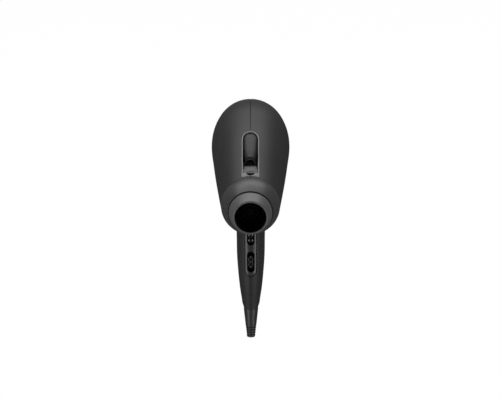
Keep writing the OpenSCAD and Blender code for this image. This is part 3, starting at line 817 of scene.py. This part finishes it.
def build_housings():
    """Two moulded halves: one hollow body with its openings, cut along X = 0, with the screws' holes in each half."""
    wall = sizes().wall / MM
    body = solid_body("housing_body")
    y = np.linspace(33, 208, 60)[:, None]
    hollow = make("hollow", closed_loft(from_barrel(barrel_skin(y, turns(96)[None], wall))))
    s = np.linspace(-49, 80, 40)[:, None]
    grip_hollow = make("grip_hollow", closed_loft(from_handle(handle_skin(s, turns(72)[None], wall))))
    bosses = make("bosses", gathered([prism(circle(4.2), -46, 46, lay_across(c)) for c in SCREWS]))
    carve(hollow, [("UNION", grip_hollow), ("DIFFERENCE", bosses)])
    window = jet_outline(JET_HALF + 0.2, JET_FRONT - 0.15, JET_REAR + 0.15)
    jet = make("jet_window", prism(window, 20, 95, lay_barrel_up))
    gap = sizes().panel_gap / MM / 2
    panel = make("panel_window", prism(panel_outline(gap), -28, -8, lay_handle_front))
    socket = make("socket", prism(circle(8.6, 64), -70, -48,
                                  lambda u, v, t: from_handle(np.stack([u, v, t], -1))))
    seams = [seam_cutter(f"seam_{i}", path) for i, path in enumerate(seam_paths())]
    carve(body, [("DIFFERENCE", tool) for tool in [hollow, jet, panel, socket]])
    tools = [hollow, grip_hollow, bosses, jet, panel, socket]
    for side, name in ((-1, "left_housing"), (1, "right_housing")):
        half = bpy.data.objects.new(name + "_shell", body.data.copy())
        bpy.context.scene.collection.objects.link(half)
        block = make("block", prism([(-160, -160), (260, -160), (260, 160), (-160, 160)],
                                    *sorted((side * 0.01, side * 60.0)), lay_across((0, 0))))
        holes = [prism(circle(1.6), *sorted((0.0, side * 12.0)), lay_across(c)) for c in SCREWS]
        if side < 0:
            holes = [prism(circle(3.3), -50, -7, lay_across(c)) for c in SCREWS]
        drill = make("drill", gathered(holes))
        steps = [("INTERSECT", block)] + [("DIFFERENCE", t) for t in seams] + [("DIFFERENCE", drill)]
        carve(half, steps, 28)
        stands_for(half, "housing_plastic", "dryer", name)
        drop(block, drill)
    drop(body, *tools, *seams)


def build_front():
    """Domed front cone and tapered nozzle ring, both turned about the barrel's line, with a black sleeve in the bore
    and a black ring in the groove between the two: both painted shade, dark parts that stand for the shade inside the
    bore and in the groove."""
    t = np.linspace(0, 1, 44)
    dome = np.stack([24.9 + 7.5 * np.sin(t * np.pi / 2), 15.3 + 20.55 * t], -1)
    back = np.array([[30.0, 36.2], [30.0, 41], [28.5, 41], [28.5, 33], [23.0, 19.2], [23.0, 16.4]])
    lead = np.array([[23.9, 16.0], [24.55, 15.35]])
    cone = make("front_cone_dome", closed_ring(turned(np.concatenate([dome, back, lead]), 160, from_barrel)))
    stands_for(cone, "front_plastic", "dryer", "front_cone")
    groove = BORE_RADIUS + 0.3
    corners = [[BORE_RADIUS, 0], [19, 0], [23.8, 14.1], [22.7, 14.1], [22.7, 26], [21.5, 26], [21.5, BORE_DEPTH],
               [groove, BORE_DEPTH], [groove, 1.4], [BORE_RADIUS, 1.4]]
    cuts = [0.75, 0.75, 0.45, 0.2, 0.3, 0.3, 0.2, 0.3, 0.1, 0.1]
    ring = make("nozzle_ring_taper", closed_ring(turned(eased(corners, cuts, 8), 160, from_barrel)), 60)
    stands_for(ring, "ring_plastic", "dryer", "nozzle_ring")
    # painted shade: a black sleeve lines the bore and a black ring fills the groove behind the nozzle ring, so that
    # both read as shade
    outside = BORE_RADIUS + 0.25
    sleeve = closed_ring(turned([[BORE_RADIUS, 1.5], [outside, 1.5], [outside, BORE_DEPTH], [BORE_RADIUS, BORE_DEPTH]],
                                128, from_barrel))
    groove_shade = closed_ring(turned([[22.75, 14.3], [23.3, 14.3], [23.3, 15.8], [22.75, 15.8]], 128, from_barrel))
    stands_for(make("bore_shade_liners", gathered([sleeve, groove_shade])), "black_plastic", "dryer")


# ---------------------------------------------------------------- ion outlet


def build_ion_outlet():
    """Frame of the outlet: the barrel's own skin inside a rim, with a fan-shaped floor, a front lip with a window, and
    deeper gutters beside a round-backed tunnel."""
    y = np.linspace(36.15, 112, 70)[:, None]
    skin = make("ion_outlet_frame", closed_loft(from_barrel(barrel_skin(y, turns(176)[None]))))
    rear_floor = float(along(BARREL, JET_REAR, 2)) - 2.0

    outer = make("outer", prism(jet_outline(JET_HALF, JET_FRONT, JET_REAR), 20, 95, lay_barrel_up))
    # underside: 4.6 mm below the floor's line, from end to end
    underside = [[JET_FRONT - 6, JET_FLOOR - 4.6], [MOUTH_Y, JET_FLOOR - 4.6], [JET_REAR, rear_floor - 4.6],
                 [JET_REAR + 8, rear_floor - 0.6], [JET_REAR + 8, 0], [JET_FRONT - 6, 0]]
    under = make("under", prism(np.array(underside), -12, 12, lay_across((0, 0))))
    # recess: everything above the gutters' floor, inside the rim, behind the lip
    floor = [[JET_LIP, 95], [JET_LIP, JET_FLOOR - 2.4], [MOUTH_Y, JET_FLOOR - 1.8], [JET_REAR, rear_floor - 1.2],
             [JET_REAR, 95]]
    above = make("above", prism(floor, -12, 12, lay_across((0, 0))))
    inner = make("inner", prism(jet_outline(RECESS_HALF, JET_LIP, JET_REAR - 1.3), 20, 96, lay_barrel_up))
    carve(inner, [("INTERSECT", above)])
    t = np.linspace(0, np.pi, 40)
    window = np.stack([4.4 * np.cos(t), 42.9 - 3.7 * np.sin(t)], -1)
    opening = make("window", prism(window, 30, 45, lay_barrel_up))
    carve(skin, [("INTERSECT", outer), ("DIFFERENCE", under), ("DIFFERENCE", inner), ("DIFFERENCE", opening)], 28)
    # fan-shaped floor ahead of the tunnel: its front edge is hollow, and it falls towards the lip
    x = np.linspace(-8.3, 8.3, 25)
    edge = np.stack([x, 44.4 + 4.8 * (1 - (x / 8.3) ** 2)], -1)
    ramp = np.concatenate([edge, [[8.25, 47.6], [5.6, MOUTH_Y + 0.5], [5.6, 88], [-5.6, 88], [-5.6, MOUTH_Y + 0.5],
                                  [-8.25, 47.6]]])
    plateau = make("plateau", prism(ramp, JET_FLOOR - 4, JET_FLOOR + 2, lay_barrel_up))
    fall = [[42, 20], [42, JET_FLOOR - 1.1], [46, JET_FLOOR - 0.9], [MOUTH_Y + 2, JET_FLOOR + 0.5],
            [90, JET_FLOOR + 0.5], [90, 20]]
    slope = make("slope", prism(fall, -12, 12, lay_across((0, 0))))
    carve(plateau, [("INTERSECT", slope)])
    carve(skin, [("UNION", plateau)], 28)
    stands_for(skin, "insert_plastic", "dryer", "ion_jet_insert")
    # painted shade: a black block behind the lip's window, so that the opening reads as the shade inside it
    x, y = (window * [0.985, 1.0]).T
    shade_block = np.stack([np.stack([x, y, z], -1) for z in (np.full_like(y, 31.3), along(BARREL, y, 2) - 0.8)])
    stands_for(make("window_shade_block", closed_loft(from_barrel(shade_block))), "black_plastic", "dryer")
    # tunnel: arches under the barrel's top line, narrow at the mouth and nearly as wide as the recess behind it
    rows = np.linspace(MOUTH_Y, JET_REAR - 4, 60)[:, None]
    base = np.interp(rows, [MOUTH_Y, JET_REAR], [JET_FLOOR - 2.0, rear_floor - 1.5])
    spread = np.clip((rows - MOUTH_Y) / 12.0, 0, 1)
    round_end = np.sqrt(np.clip(1 - (np.clip(rows - JET_REAR + 9.7, 0, 9) / 8.4) ** 2, 0.2, 1))
    half = (6.3 + (RECESS_HALF - 6.4) * np.sin(spread * np.pi / 2)) * round_end
    rise = along(BARREL, rows, 2) - 0.7 - 0.5 * (1 - spread) ** 2 - base
    a = np.linspace(0, np.pi, 64)[None]
    arch = np.stack(np.broadcast_arrays(half * np.cos(a), rows, base + rise * np.sin(a) ** 0.75), -1)
    hump = make("ion_tunnel", closed_loft(from_barrel(arch)))
    mouth = np.concatenate([circle(JET_BORE)[:19] + [0, JET_FLOOR + 2.6],
                            [[-JET_BORE, JET_FLOOR + 0.4], [JET_BORE, JET_FLOOR + 0.4]]])
    bore = make("bore", prism(mouth, MOUTH_Y - 2, MOUTH_Y + 24,
                              lambda u, v, t: from_barrel(np.stack([u, t, v], -1))))
    carve(hump, [("DIFFERENCE", bore)], 28)
    stands_for(hump, "housing_plastic", "dryer")
    # painted highlight: a light-coloured tube round the mouth, a small circle carried over the arch, stands for the
    # light on the arch's front edge
    t = np.linspace(-0.12, np.pi + 0.12, 60)
    path = np.stack([4.95 * np.cos(t), np.full_like(t, MOUTH_Y - 0.1), JET_FLOOR + 2.6 + 5.0 * np.sin(t)], -1)
    bead = make("tunnel_mouth_highlight", closed_loft(from_barrel(swept(path, 0.55, 14, [0.0, 1.0, 0.0]))), 60)
    stands_for(bead, "insert_plastic", "dryer")
    drop(outer, under, above, inner, opening, plateau, slope, bore)


# ---------------------------------------------------------------- controls


def build_panel():
    """Inset panel: the handle's own skin inside the panel's outline, with two wells."""
    s = np.linspace(-24, 48, 60)[:, None]
    panel = make("control_panel", closed_loft(from_handle(handle_skin(s, turns(176)[None]))))
    gap = sizes().panel_gap / MM / 2
    outline = make("outline", prism(panel_outline(-gap), -30, PANEL_BACK, lay_handle_front))
    wells = [make("well", prism(pill_outline(WELL_HALF, *w), -32, -8, lay_handle_front)) for w in WELLS]
    carve(panel, [("INTERSECT", outline)] + [("DIFFERENCE", w) for w in wells], 28)
    stands_for(panel, "panel_plastic", "dryer", "handle_panel")
    tubes = []
    for well in WELLS:
        mouth = pill_outline(WELL_HALF - 0.02, *well)
        throat = pill_outline(WELL_HALF - 0.35, well[0] + 0.33, well[1] - 0.33)
        section = [(mouth, -17.9), (mouth, -14.3), (throat, -14.3), (throat, -17.9)]
        rings = np.stack([lay_handle_front(o[:, 0], o[:, 1], np.full(len(o), y)) for o, y in section])
        tubes.append(closed_ring(rings))
    stands_for(make("well_liners", gathered(tubes)), "black_plastic", "dryer")
    drop(outline, *wells)


def raised(outline, height, back, rings=44, skirt=6):
    """Cap over an outline seen from the front: rings shrink towards the outline's middle, each point stands at
    height(x, s, share), and a skirt runs straight back."""
    q = np.linspace(0.02, 1, rings)[:, None, None]
    middle = outline.mean(0)
    flat = middle + (outline - middle)[None] * q
    front = np.stack([flat[..., 0], height(flat[..., 0], flat[..., 1], q[..., 0]), flat[..., 1]], -1)
    t = np.linspace(0, 1, skirt)[1:, None]
    edge = front[-1]
    side = np.broadcast_to(edge, (skirt - 1,) + edge.shape).copy()
    side[..., 1] = edge[None, :, 1] * (1 - t) + back * t
    return closed_loft(from_handle(np.concatenate([front, side])))


def build_controls():
    """Push button with two lobes and a waist, and slider with three dots."""
    t = turns(120)
    # button: straight-sided between its two round ends, each as wide as the button, and drawn in at the waist
    reach = 6.75 * np.sin(t)
    past = np.clip(np.abs(reach) - 3.3, 0, 3.45)
    waist = 1 - 0.2 * (0.5 + 0.5 * np.cos(np.pi * np.clip(reach / 3.3, -1, 1)))
    width = np.where(np.abs(reach) > 3.3, np.sqrt(np.maximum(1 - (past / 3.46) ** 2, 0)), waist) * 3.5
    outline = np.stack([np.sign(np.cos(t)) * width, BUTTON_S + reach], -1)

    def lobes(x, s, share):
        away = np.minimum(np.hypot(x, s - BUTTON_S - 3.3), np.hypot(x, s - BUTTON_S + 3.3))
        dome = np.sqrt(np.maximum(1 - (away / 3.75) ** 2, 0))
        return -17.3 - 2.1 * dome - 0.15 * (1 - share)

    button = make("cool_button_cap", raised(outline, lobes, -16.6), 50)
    stem = make("cool_button_stem", closed_loft(from_handle(np.stack(np.broadcast_arrays(
        1.6 * np.cos(turns(32))[None], np.array([[-17.2], [-7.9]]), BUTTON_S + 1.6 * np.sin(turns(32))[None]), -1))))
    carve(button, [("UNION", stem)], 40)
    drop(stem)
    stands_for(button, "control_plastic", "cool_button", "cool_button")

    dots = SLIDER_S + 5.8 * np.array([-1, 0, 1])

    def knob(x, s, share):
        rim = -18.35 + 1.6 * np.maximum(share - 0.72, 0) ** 2 / 0.28**2 * 0.45
        return np.broadcast_to(rim, x.shape)

    slider = make("power_slider_knob", raised(pill_outline(2.8, SLIDER_S - 7.4, SLIDER_S + 7.4, 144), knob, -14.5, 90))
    tongue = make("tongue", prism([(-1.5, SLIDER_S - 2.8), (1.5, SLIDER_S - 2.8), (1.5, SLIDER_S + 2.8),
                                   (-1.5, SLIDER_S + 2.8)], -15, -4.5, lay_handle_front))
    carve(slider, [("UNION", tongue)], 40)
    drop(tongue)
    stands_for(slider, "control_plastic", "power_slider", "power_slider")
    # dots: low domes let into the knob, in the ring's lighter grey as painted glints on their tops
    q = np.linspace(0.03, 1, 9)[:, None]
    a = turns(24)[None]
    domes = []
    for s in dots:
        dome = np.stack(np.broadcast_arrays(
            0.9 * q * np.cos(a), -18.2 - 0.6 * np.sqrt(np.maximum(1 - q**2, 0)), s + 0.9 * q * np.sin(a)), -1)
        domes.append(closed_loft(from_handle(dome)))
    stands_for(make("slider_glint_dots", gathered(domes), 60), "ring_plastic", "power_slider")


def build_spring():
    """Helix of five turns along the button's travel."""
    t = np.linspace(0, 1, 300)
    path = from_handle(np.stack([2.5 * np.cos(t * 10 * np.pi), -16.2 + 6.8 * t,
                                 BUTTON_S + 2.5 * np.sin(t * 10 * np.pi)], -1))
    press = np.array(JOINTS["cool_button_press"]["axis"])
    spring = make("cool_button_coil", closed_loft(swept(path, 0.35, 10, press)), 60)
    stands_for(spring, "steel", "dryer", "cool_button_spring")
    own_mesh(spring)


# ---------------------------------------------------------------- strain relief


def build_relief():
    """Tapered guard turned about the handle's line: radius from the RELIEF table less a raised cosine at each flex
    groove, with a rounded end and a straight bore."""
    s = np.linspace(-52, -94.2, 220)
    r = along(RELIEF, s, 1)
    away = np.min(np.abs(s[:, None] - RELIEF_GROOVES), 1)
    r = r - 0.85 * np.where(away < 0.75, 0.5 + 0.5 * np.cos(np.pi * away / 0.75), 0)
    head = np.array([[3.6, -46], [7.2, -46], [7.2, -50.6], [8.2, -51.7]])
    end = np.array([[r[-1] - 0.15, -94.7], [r[-1] - 0.5, -95], [3.75, -95], [3.6, -94.8]])
    profile = np.concatenate([head, np.stack([r, s], -1), end])
    guard = make("strain_relief_guard", closed_ring(turned(profile, 96, from_handle, axis="Z")), 40)
    stands_for(guard, "guard_rubber", "dryer", "strain_relief")


# ---------------------------------------------------------------- inlet and fan


def build_net():
    """Woven lint net: two sets of threads, each a wave of one thread's thickness whose phase flips from thread to
    thread, cut to a disc."""
    pitch, radius, reach = sizes().net_pitch / MM, 0.19, 29.9
    count = int(reach // pitch)
    across = np.arange(-count, count + 1) * pitch
    parts = []
    for turn in (0, 1):
        for i, x in enumerate(across):
            length = math.sqrt(max(reach**2 - x**2, 1.0))
            t = np.linspace(-length, length, int(6 * length / pitch) + 4)
            wave = radius * np.cos(np.pi * t / pitch + np.pi * ((i + turn) % 2))
            still = np.full_like(t, x)
            flat = np.stack([still, wave - 3.7, t] if turn == 0 else [t, wave - 3.7, still], -1)
            parts.append(closed_loft(from_cap(swept(flat, radius, 4, [0.01, 1.0, 0.01]))))
    net = make("lint_net", gathered(parts), 80)
    stands_for(net, "filter_net", "rear_cap", "filter_mesh")


def build_fan():
    """Hub turned about the shaft, and blades: an ellipse section with camber, carried outwards while its pitch
    lessens."""
    hub = closed_ring(turned(eased([[1.0, 118], [9, 118], [9, 131], [7.6, 135.5], [4, 138.6], [1.0, 139.4]],
                                   [0.1, 0.6, 1.5, 1.6, 1.2, 0.2]), 64, from_fan))
    r = np.linspace(8.4, 31.0, 24)[:, None]
    a = turns(28)[None]
    pitch = np.radians(np.interp(r, [8.4, 31.0], [34.0, 50.0]))
    chord = np.interp(r, [8.4, 20, 31.0], [8.9, 9.0, 7.4]) / np.cos(pitch)
    u, w = chord * np.cos(a), 0.62 * np.sin(a) + 1.3 * (1 - np.cos(a) ** 2)
    along_shaft = 127.6 + u * np.cos(pitch) - w * np.sin(pitch)
    round_it = u * np.sin(pitch) + w * np.cos(pitch)
    parts = [hub]
    for k in range(sizes().blades):
        turn = 2 * np.pi * k / sizes().blades + round_it / r
        radius = np.broadcast_to(r, turn.shape)
        parts.append(closed_loft(from_fan(np.stack([radius * np.sin(turn), along_shaft, radius * np.cos(turn)], -1))))
    fan = make("fan_wheel", gathered(parts), 50)
    stands_for(fan, "black_plastic", "fan", "fan_impeller")


# ---------------------------------------------------------------- heater and leads


def build_coils():
    """Nine rounds of crimped resistance wire: a small circle wound on a large one, 64 crimps to the round."""
    t = np.linspace(0, 2 * np.pi, 64 * 8, endpoint=False)
    parts = []
    for k in range(9):
        r = 22.9 + 0.55 * np.cos(64 * t)
        path = np.stack([r * np.cos(t), 14 + 5 * k + 0.55 * np.sin(64 * t), r * np.sin(t)], -1)
        tube = swept(np.concatenate([path[-1:], path, path[:1]]), 0.22, 5, [0.001, 1.0, 0.002])[1:-1]
        parts.append(closed_ring(from_fan(tube)))
    coils = make("crimped_coils", gathered(parts), 80)
    stands_for(coils, "resistance_wire", "dryer", "heating_coils")


def lead(route, radius, x=0.0):
    """Round lead on a smooth line through the rows of a route in the barrel's plane."""
    rows = np.array([[i, y, z] for i, (y, z) in enumerate(route)], float)
    t = np.linspace(0, len(route) - 1, 12 * len(route))
    path = np.stack([np.full_like(t, x), along(rows, t, 1), along(rows, t, 2)], -1)
    return closed_loft(from_barrel(swept(path, radius, 12, [1.0, 0.001, 0.002])))


def build_leads():
    """Three leads from the clamp up to the heater, and the high-voltage lead from the generator to the pins."""
    inner = [(108.6, -61), (110.6, -53), (111.6, -45.5), (111, -38), (107, -31), (101, -27), (94, -25.4), (86, -26),
             (78, -26.4)]
    ion = [(133.5, 61.75), (130, 60), (124, 55.4), (116, 51.4), (108, 49.6), (102, 48.6), (94, 47.4), (88, 45),
           (84, 42.2)]
    leads = make("supply_leads", gathered([lead(inner, 1.1, x) for x in (-4, 0, 4)]), 60)
    stands_for(leads, "lead_white", "dryer", "inner_leads")
    high_voltage = make("high_voltage_lead", lead(ion, 0.9), 60)
    stands_for(high_voltage, "lead_red", "dryer", "ion_lead")


# ---------------------------------------------------------------- stage


def area_light(name, place, aim, size, power):
    """A soft light at a place, turned to look at a point."""
    data = bpy.data.lights.new(name, "AREA")
    data.shape, data.size, data.size_y, data.energy = "RECTANGLE", size[0], size[1], power
    lamp = bpy.data.objects.new(name, data)
    bpy.context.scene.collection.objects.link(lamp)
    look = Vector(aim) - Vector(place)
    lamp.location = place
    lamp.rotation_euler = look.to_track_quat("-Z", "Y").to_euler()


def build_stage():
    """White paper floor and background, three softboxes, and the camera, which looks down along the barrel."""
    st = studio()
    floor_z = CAD_BOX[0][2] - st.floor_drop
    # floor: one sheet, a flat disc
    a = turns(96)
    r = np.array([0.5, 3.0, 9.0, 20.0])[:, None]
    points = np.stack(np.broadcast_arrays(r * np.cos(a), r * np.sin(a), floor_z), -1).reshape(-1, 3)
    faces = grid_faces(4, 96).tolist() + [list(range(96))]
    mesh = bpy.data.meshes.new("floor")
    mesh.from_pydata(points.tolist(), [], faces)
    floor = bpy.data.objects.new("floor", mesh)
    bpy.context.scene.collection.objects.link(floor)
    material, tree, shader = blank("floor_paper")
    where = node(tree, "ShaderNodeTexCoord").outputs["Object"]
    paper = node(tree, "ShaderNodeTexNoise", [("Vector", where), ("Scale", 40.0), ("Detail", 5.0)])
    tree.links.new(shaded(tree, (0.32, 0.32, 0.32), paper.outputs["Fac"], 0.01), shader.inputs["Base Color"])
    shader.inputs["Roughness"].default_value = 0.9
    mesh.materials.append(material)
    # the camera sees the paper as fully lit; everything else sees it as it is
    glow = node(tree, "ShaderNodeEmission", [("Color", (1.0, 1.0, 1.0, 1.0)), ("Strength", 1.06)])
    seen = node(tree, "ShaderNodeLightPath").outputs["Is Camera Ray"]
    share = maths(tree, "MULTIPLY", seen, 0.93)
    mix = node(tree, "ShaderNodeMixShader", [(0, share), (1, shader.outputs[0]), (2, glow.outputs[0])])
    tree.links.new(mix.outputs[0], next(n for n in tree.nodes if n.type == "OUTPUT_MATERIAL").inputs["Surface"])
    # mirror and shadow rays pass the paper, so that the boxes may reach below it
    floor.visible_glossy = floor.visible_shadow = False

    # background: white to the camera, a faint fill to everything else
    world = bpy.data.worlds.new("studio")
    world.use_nodes = True
    bpy.context.scene.world = world
    tree = world.node_tree
    tree.nodes.clear()
    seen = node(tree, "ShaderNodeLightPath").outputs["Is Camera Ray"]
    strength = maths(tree, "MULTIPLY_ADD", seen, 0.94)
    strength.node.inputs[2].default_value = 0.06
    sky = node(tree, "ShaderNodeBackground", [("Color", (1.0, 1.0, 1.0, 1.0)), ("Strength", strength)])
    out = tree.nodes.new("ShaderNodeOutputWorld")
    tree.links.new(sky.outputs[0], out.inputs["Surface"])

    lip = LIP * MM
    area_light("top_softbox", (-0.06, lip[1] + 0.62, lip[2] + 1.3), (0, -0.05, lip[2]), (2.4, 0.45), st.key)
    area_light("left_softbox", (-0.98, -0.98, -0.22), (0, -0.03, 0.0), (0.65, 0.8), st.side)
    area_light("right_softbox", (0.98, -0.98, -0.22), (0, -0.03, 0.0), (0.65, 0.8), st.side * 0.9)

    data = bpy.data.cameras.new("camera")
    data.lens, data.sensor_width, data.sensor_fit = st.lens, 36.0, "HORIZONTAL"
    data.clip_start, data.clip_end = 0.05, 60.0
    camera = bpy.data.objects.new("camera", data)
    bpy.context.scene.collection.objects.link(camera)

    def sight(turn, pitch):
        return Vector((-math.sin(turn), math.cos(pitch), -math.sin(pitch))).normalized()

    camera.location = Vector(lip) - sight(st.side_step, st.pitch) * st.distance
    ahead = sight(st.side_step + st.aim_side, st.pitch - st.aim_up)
    camera.rotation_euler = (
        ahead.to_track_quat("-Z", "Y") @ Quaternion((0.0, 0.0, 1.0), -st.roll)).to_euler()
    bpy.context.scene.camera = camera
    bpy.context.scene.view_settings.view_transform = "Standard"


# ---------------------------------------------------------------- operators


def dress_frame():
    """Gives every CAD node that still shows the finish of its own slot."""
    for row in frame["record"]["subparts"]:
        shown = frame["nodes"][row["node"]]
        material = finish(row["material_slot"])
        if shown.material_slots:
            for place in shown.material_slots:
                place.material = material
        else:
            shown.data.materials.append(material)


class DRYER_OT_dress(bpy.types.Operator):
    """Gives the CAD nodes their finishes."""

    bl_idname = "dryer.dress"
    bl_label = "Finishes"
    bl_options = {"REGISTER", "UNDO"}

    def execute(self, context):
        dress_frame()
        return {"FINISHED"}


class DRYER_OT_housings(bpy.types.Operator):
    """Builds the two moulded halves."""

    bl_idname = "dryer.housings"
    bl_label = "Housings"
    bl_options = {"REGISTER", "UNDO"}

    def execute(self, context):
        build_housings()
        return {"FINISHED"}


class DRYER_OT_front(bpy.types.Operator):
    """Builds the front cone and the nozzle ring."""

    bl_idname = "dryer.front"
    bl_label = "Front"
    bl_options = {"REGISTER", "UNDO"}

    def execute(self, context):
        build_front()
        return {"FINISHED"}


class DRYER_OT_ion_outlet(bpy.types.Operator):
    """Builds the frame and tunnel of the ion outlet."""

    bl_idname = "dryer.ion_outlet"
    bl_label = "Ion outlet"
    bl_options = {"REGISTER", "UNDO"}

    def execute(self, context):
        build_ion_outlet()
        return {"FINISHED"}


class DRYER_OT_panel(bpy.types.Operator):
    """Builds the control panel."""

    bl_idname = "dryer.panel"
    bl_label = "Panel"
    bl_options = {"REGISTER", "UNDO"}

    def execute(self, context):
        build_panel()
        return {"FINISHED"}


class DRYER_OT_controls(bpy.types.Operator):
    """Builds the button and the slider."""

    bl_idname = "dryer.controls"
    bl_label = "Controls"
    bl_options = {"REGISTER", "UNDO"}

    def execute(self, context):
        build_controls()
        return {"FINISHED"}


class DRYER_OT_spring(bpy.types.Operator):
    """Builds the button's spring."""

    bl_idname = "dryer.spring"
    bl_label = "Spring"
    bl_options = {"REGISTER", "UNDO"}

    def execute(self, context):
        build_spring()
        return {"FINISHED"}


class DRYER_OT_relief(bpy.types.Operator):
    """Builds the strain relief."""

    bl_idname = "dryer.relief"
    bl_label = "Strain relief"
    bl_options = {"REGISTER", "UNDO"}

    def execute(self, context):
        build_relief()
        return {"FINISHED"}


class DRYER_OT_net(bpy.types.Operator):
    """Builds the woven net of the inlet filter."""

    bl_idname = "dryer.net"
    bl_label = "Lint net"
    bl_options = {"REGISTER", "UNDO"}

    def execute(self, context):
        build_net()
        return {"FINISHED"}


class DRYER_OT_fan(bpy.types.Operator):
    """Builds the fan wheel."""

    bl_idname = "dryer.fan"
    bl_label = "Fan"
    bl_options = {"REGISTER", "UNDO"}

    def execute(self, context):
        build_fan()
        return {"FINISHED"}


class DRYER_OT_coils(bpy.types.Operator):
    """Builds the crimped resistance wire."""

    bl_idname = "dryer.coils"
    bl_label = "Coils"
    bl_options = {"REGISTER", "UNDO"}

    def execute(self, context):
        build_coils()
        return {"FINISHED"}


class DRYER_OT_leads(bpy.types.Operator):
    """Builds the supply leads and the high-voltage lead."""

    bl_idname = "dryer.leads"
    bl_label = "Leads"
    bl_options = {"REGISTER", "UNDO"}

    def execute(self, context):
        build_leads()
        return {"FINISHED"}


class DRYER_OT_stage(bpy.types.Operator):
    """Builds the floor, the lights and the camera."""

    bl_idname = "dryer.stage"
    bl_label = "Stage"
    bl_options = {"REGISTER", "UNDO"}

    def execute(self, context):
        build_stage()
        return {"FINISHED"}


OPERATORS = [
    DRYER_OT_dress, DRYER_OT_housings, DRYER_OT_front, DRYER_OT_ion_outlet, DRYER_OT_panel,
    DRYER_OT_controls, DRYER_OT_spring, DRYER_OT_relief, DRYER_OT_net,
    DRYER_OT_fan, DRYER_OT_coils, DRYER_OT_leads, DRYER_OT_stage,
]


class DRYER_PT_sidebar(bpy.types.Panel):
    """Sizes, colours and the build steps in the sidebar."""

    bl_idname = "DRYER_PT_sidebar"
    bl_label = "Hair dryer"
    bl_space_type = "VIEW_3D"
    bl_region_type = "UI"
    bl_category = "Hair dryer"

    def draw(self, context):
        for group in (context.scene.dryer_sizes, context.scene.dryer_colours, context.scene.dryer_studio):
            box = self.layout.box()
            for key in group.bl_rna.properties.keys():
                if key not in ("rna_type", "name"):
                    box.prop(group, key)
        for made in OPERATORS:
            self.layout.operator(made.bl_idname)


GROUPS = {"dryer_sizes": DryerSizes, "dryer_colours": DryerColours, "dryer_studio": StudioSettings}


def register():
    for made in [*GROUPS.values(), *OPERATORS, DRYER_PT_sidebar]:
        bpy.utils.register_class(made)
    for name, group in GROUPS.items():
        setattr(bpy.types.Scene, name, PointerProperty(type=group))


def unregister():
    for name in GROUPS:
        delattr(bpy.types.Scene, name)
    for made in reversed([*GROUPS.values(), *OPERATORS, DRYER_PT_sidebar]):
        bpy.utils.unregister_class(made)


def main():
    register()
    for made in OPERATORS:
        step = made.bl_idname.split(".")[1]
        getattr(bpy.ops.dryer, step)()


if __name__ == "__main__":
    main()
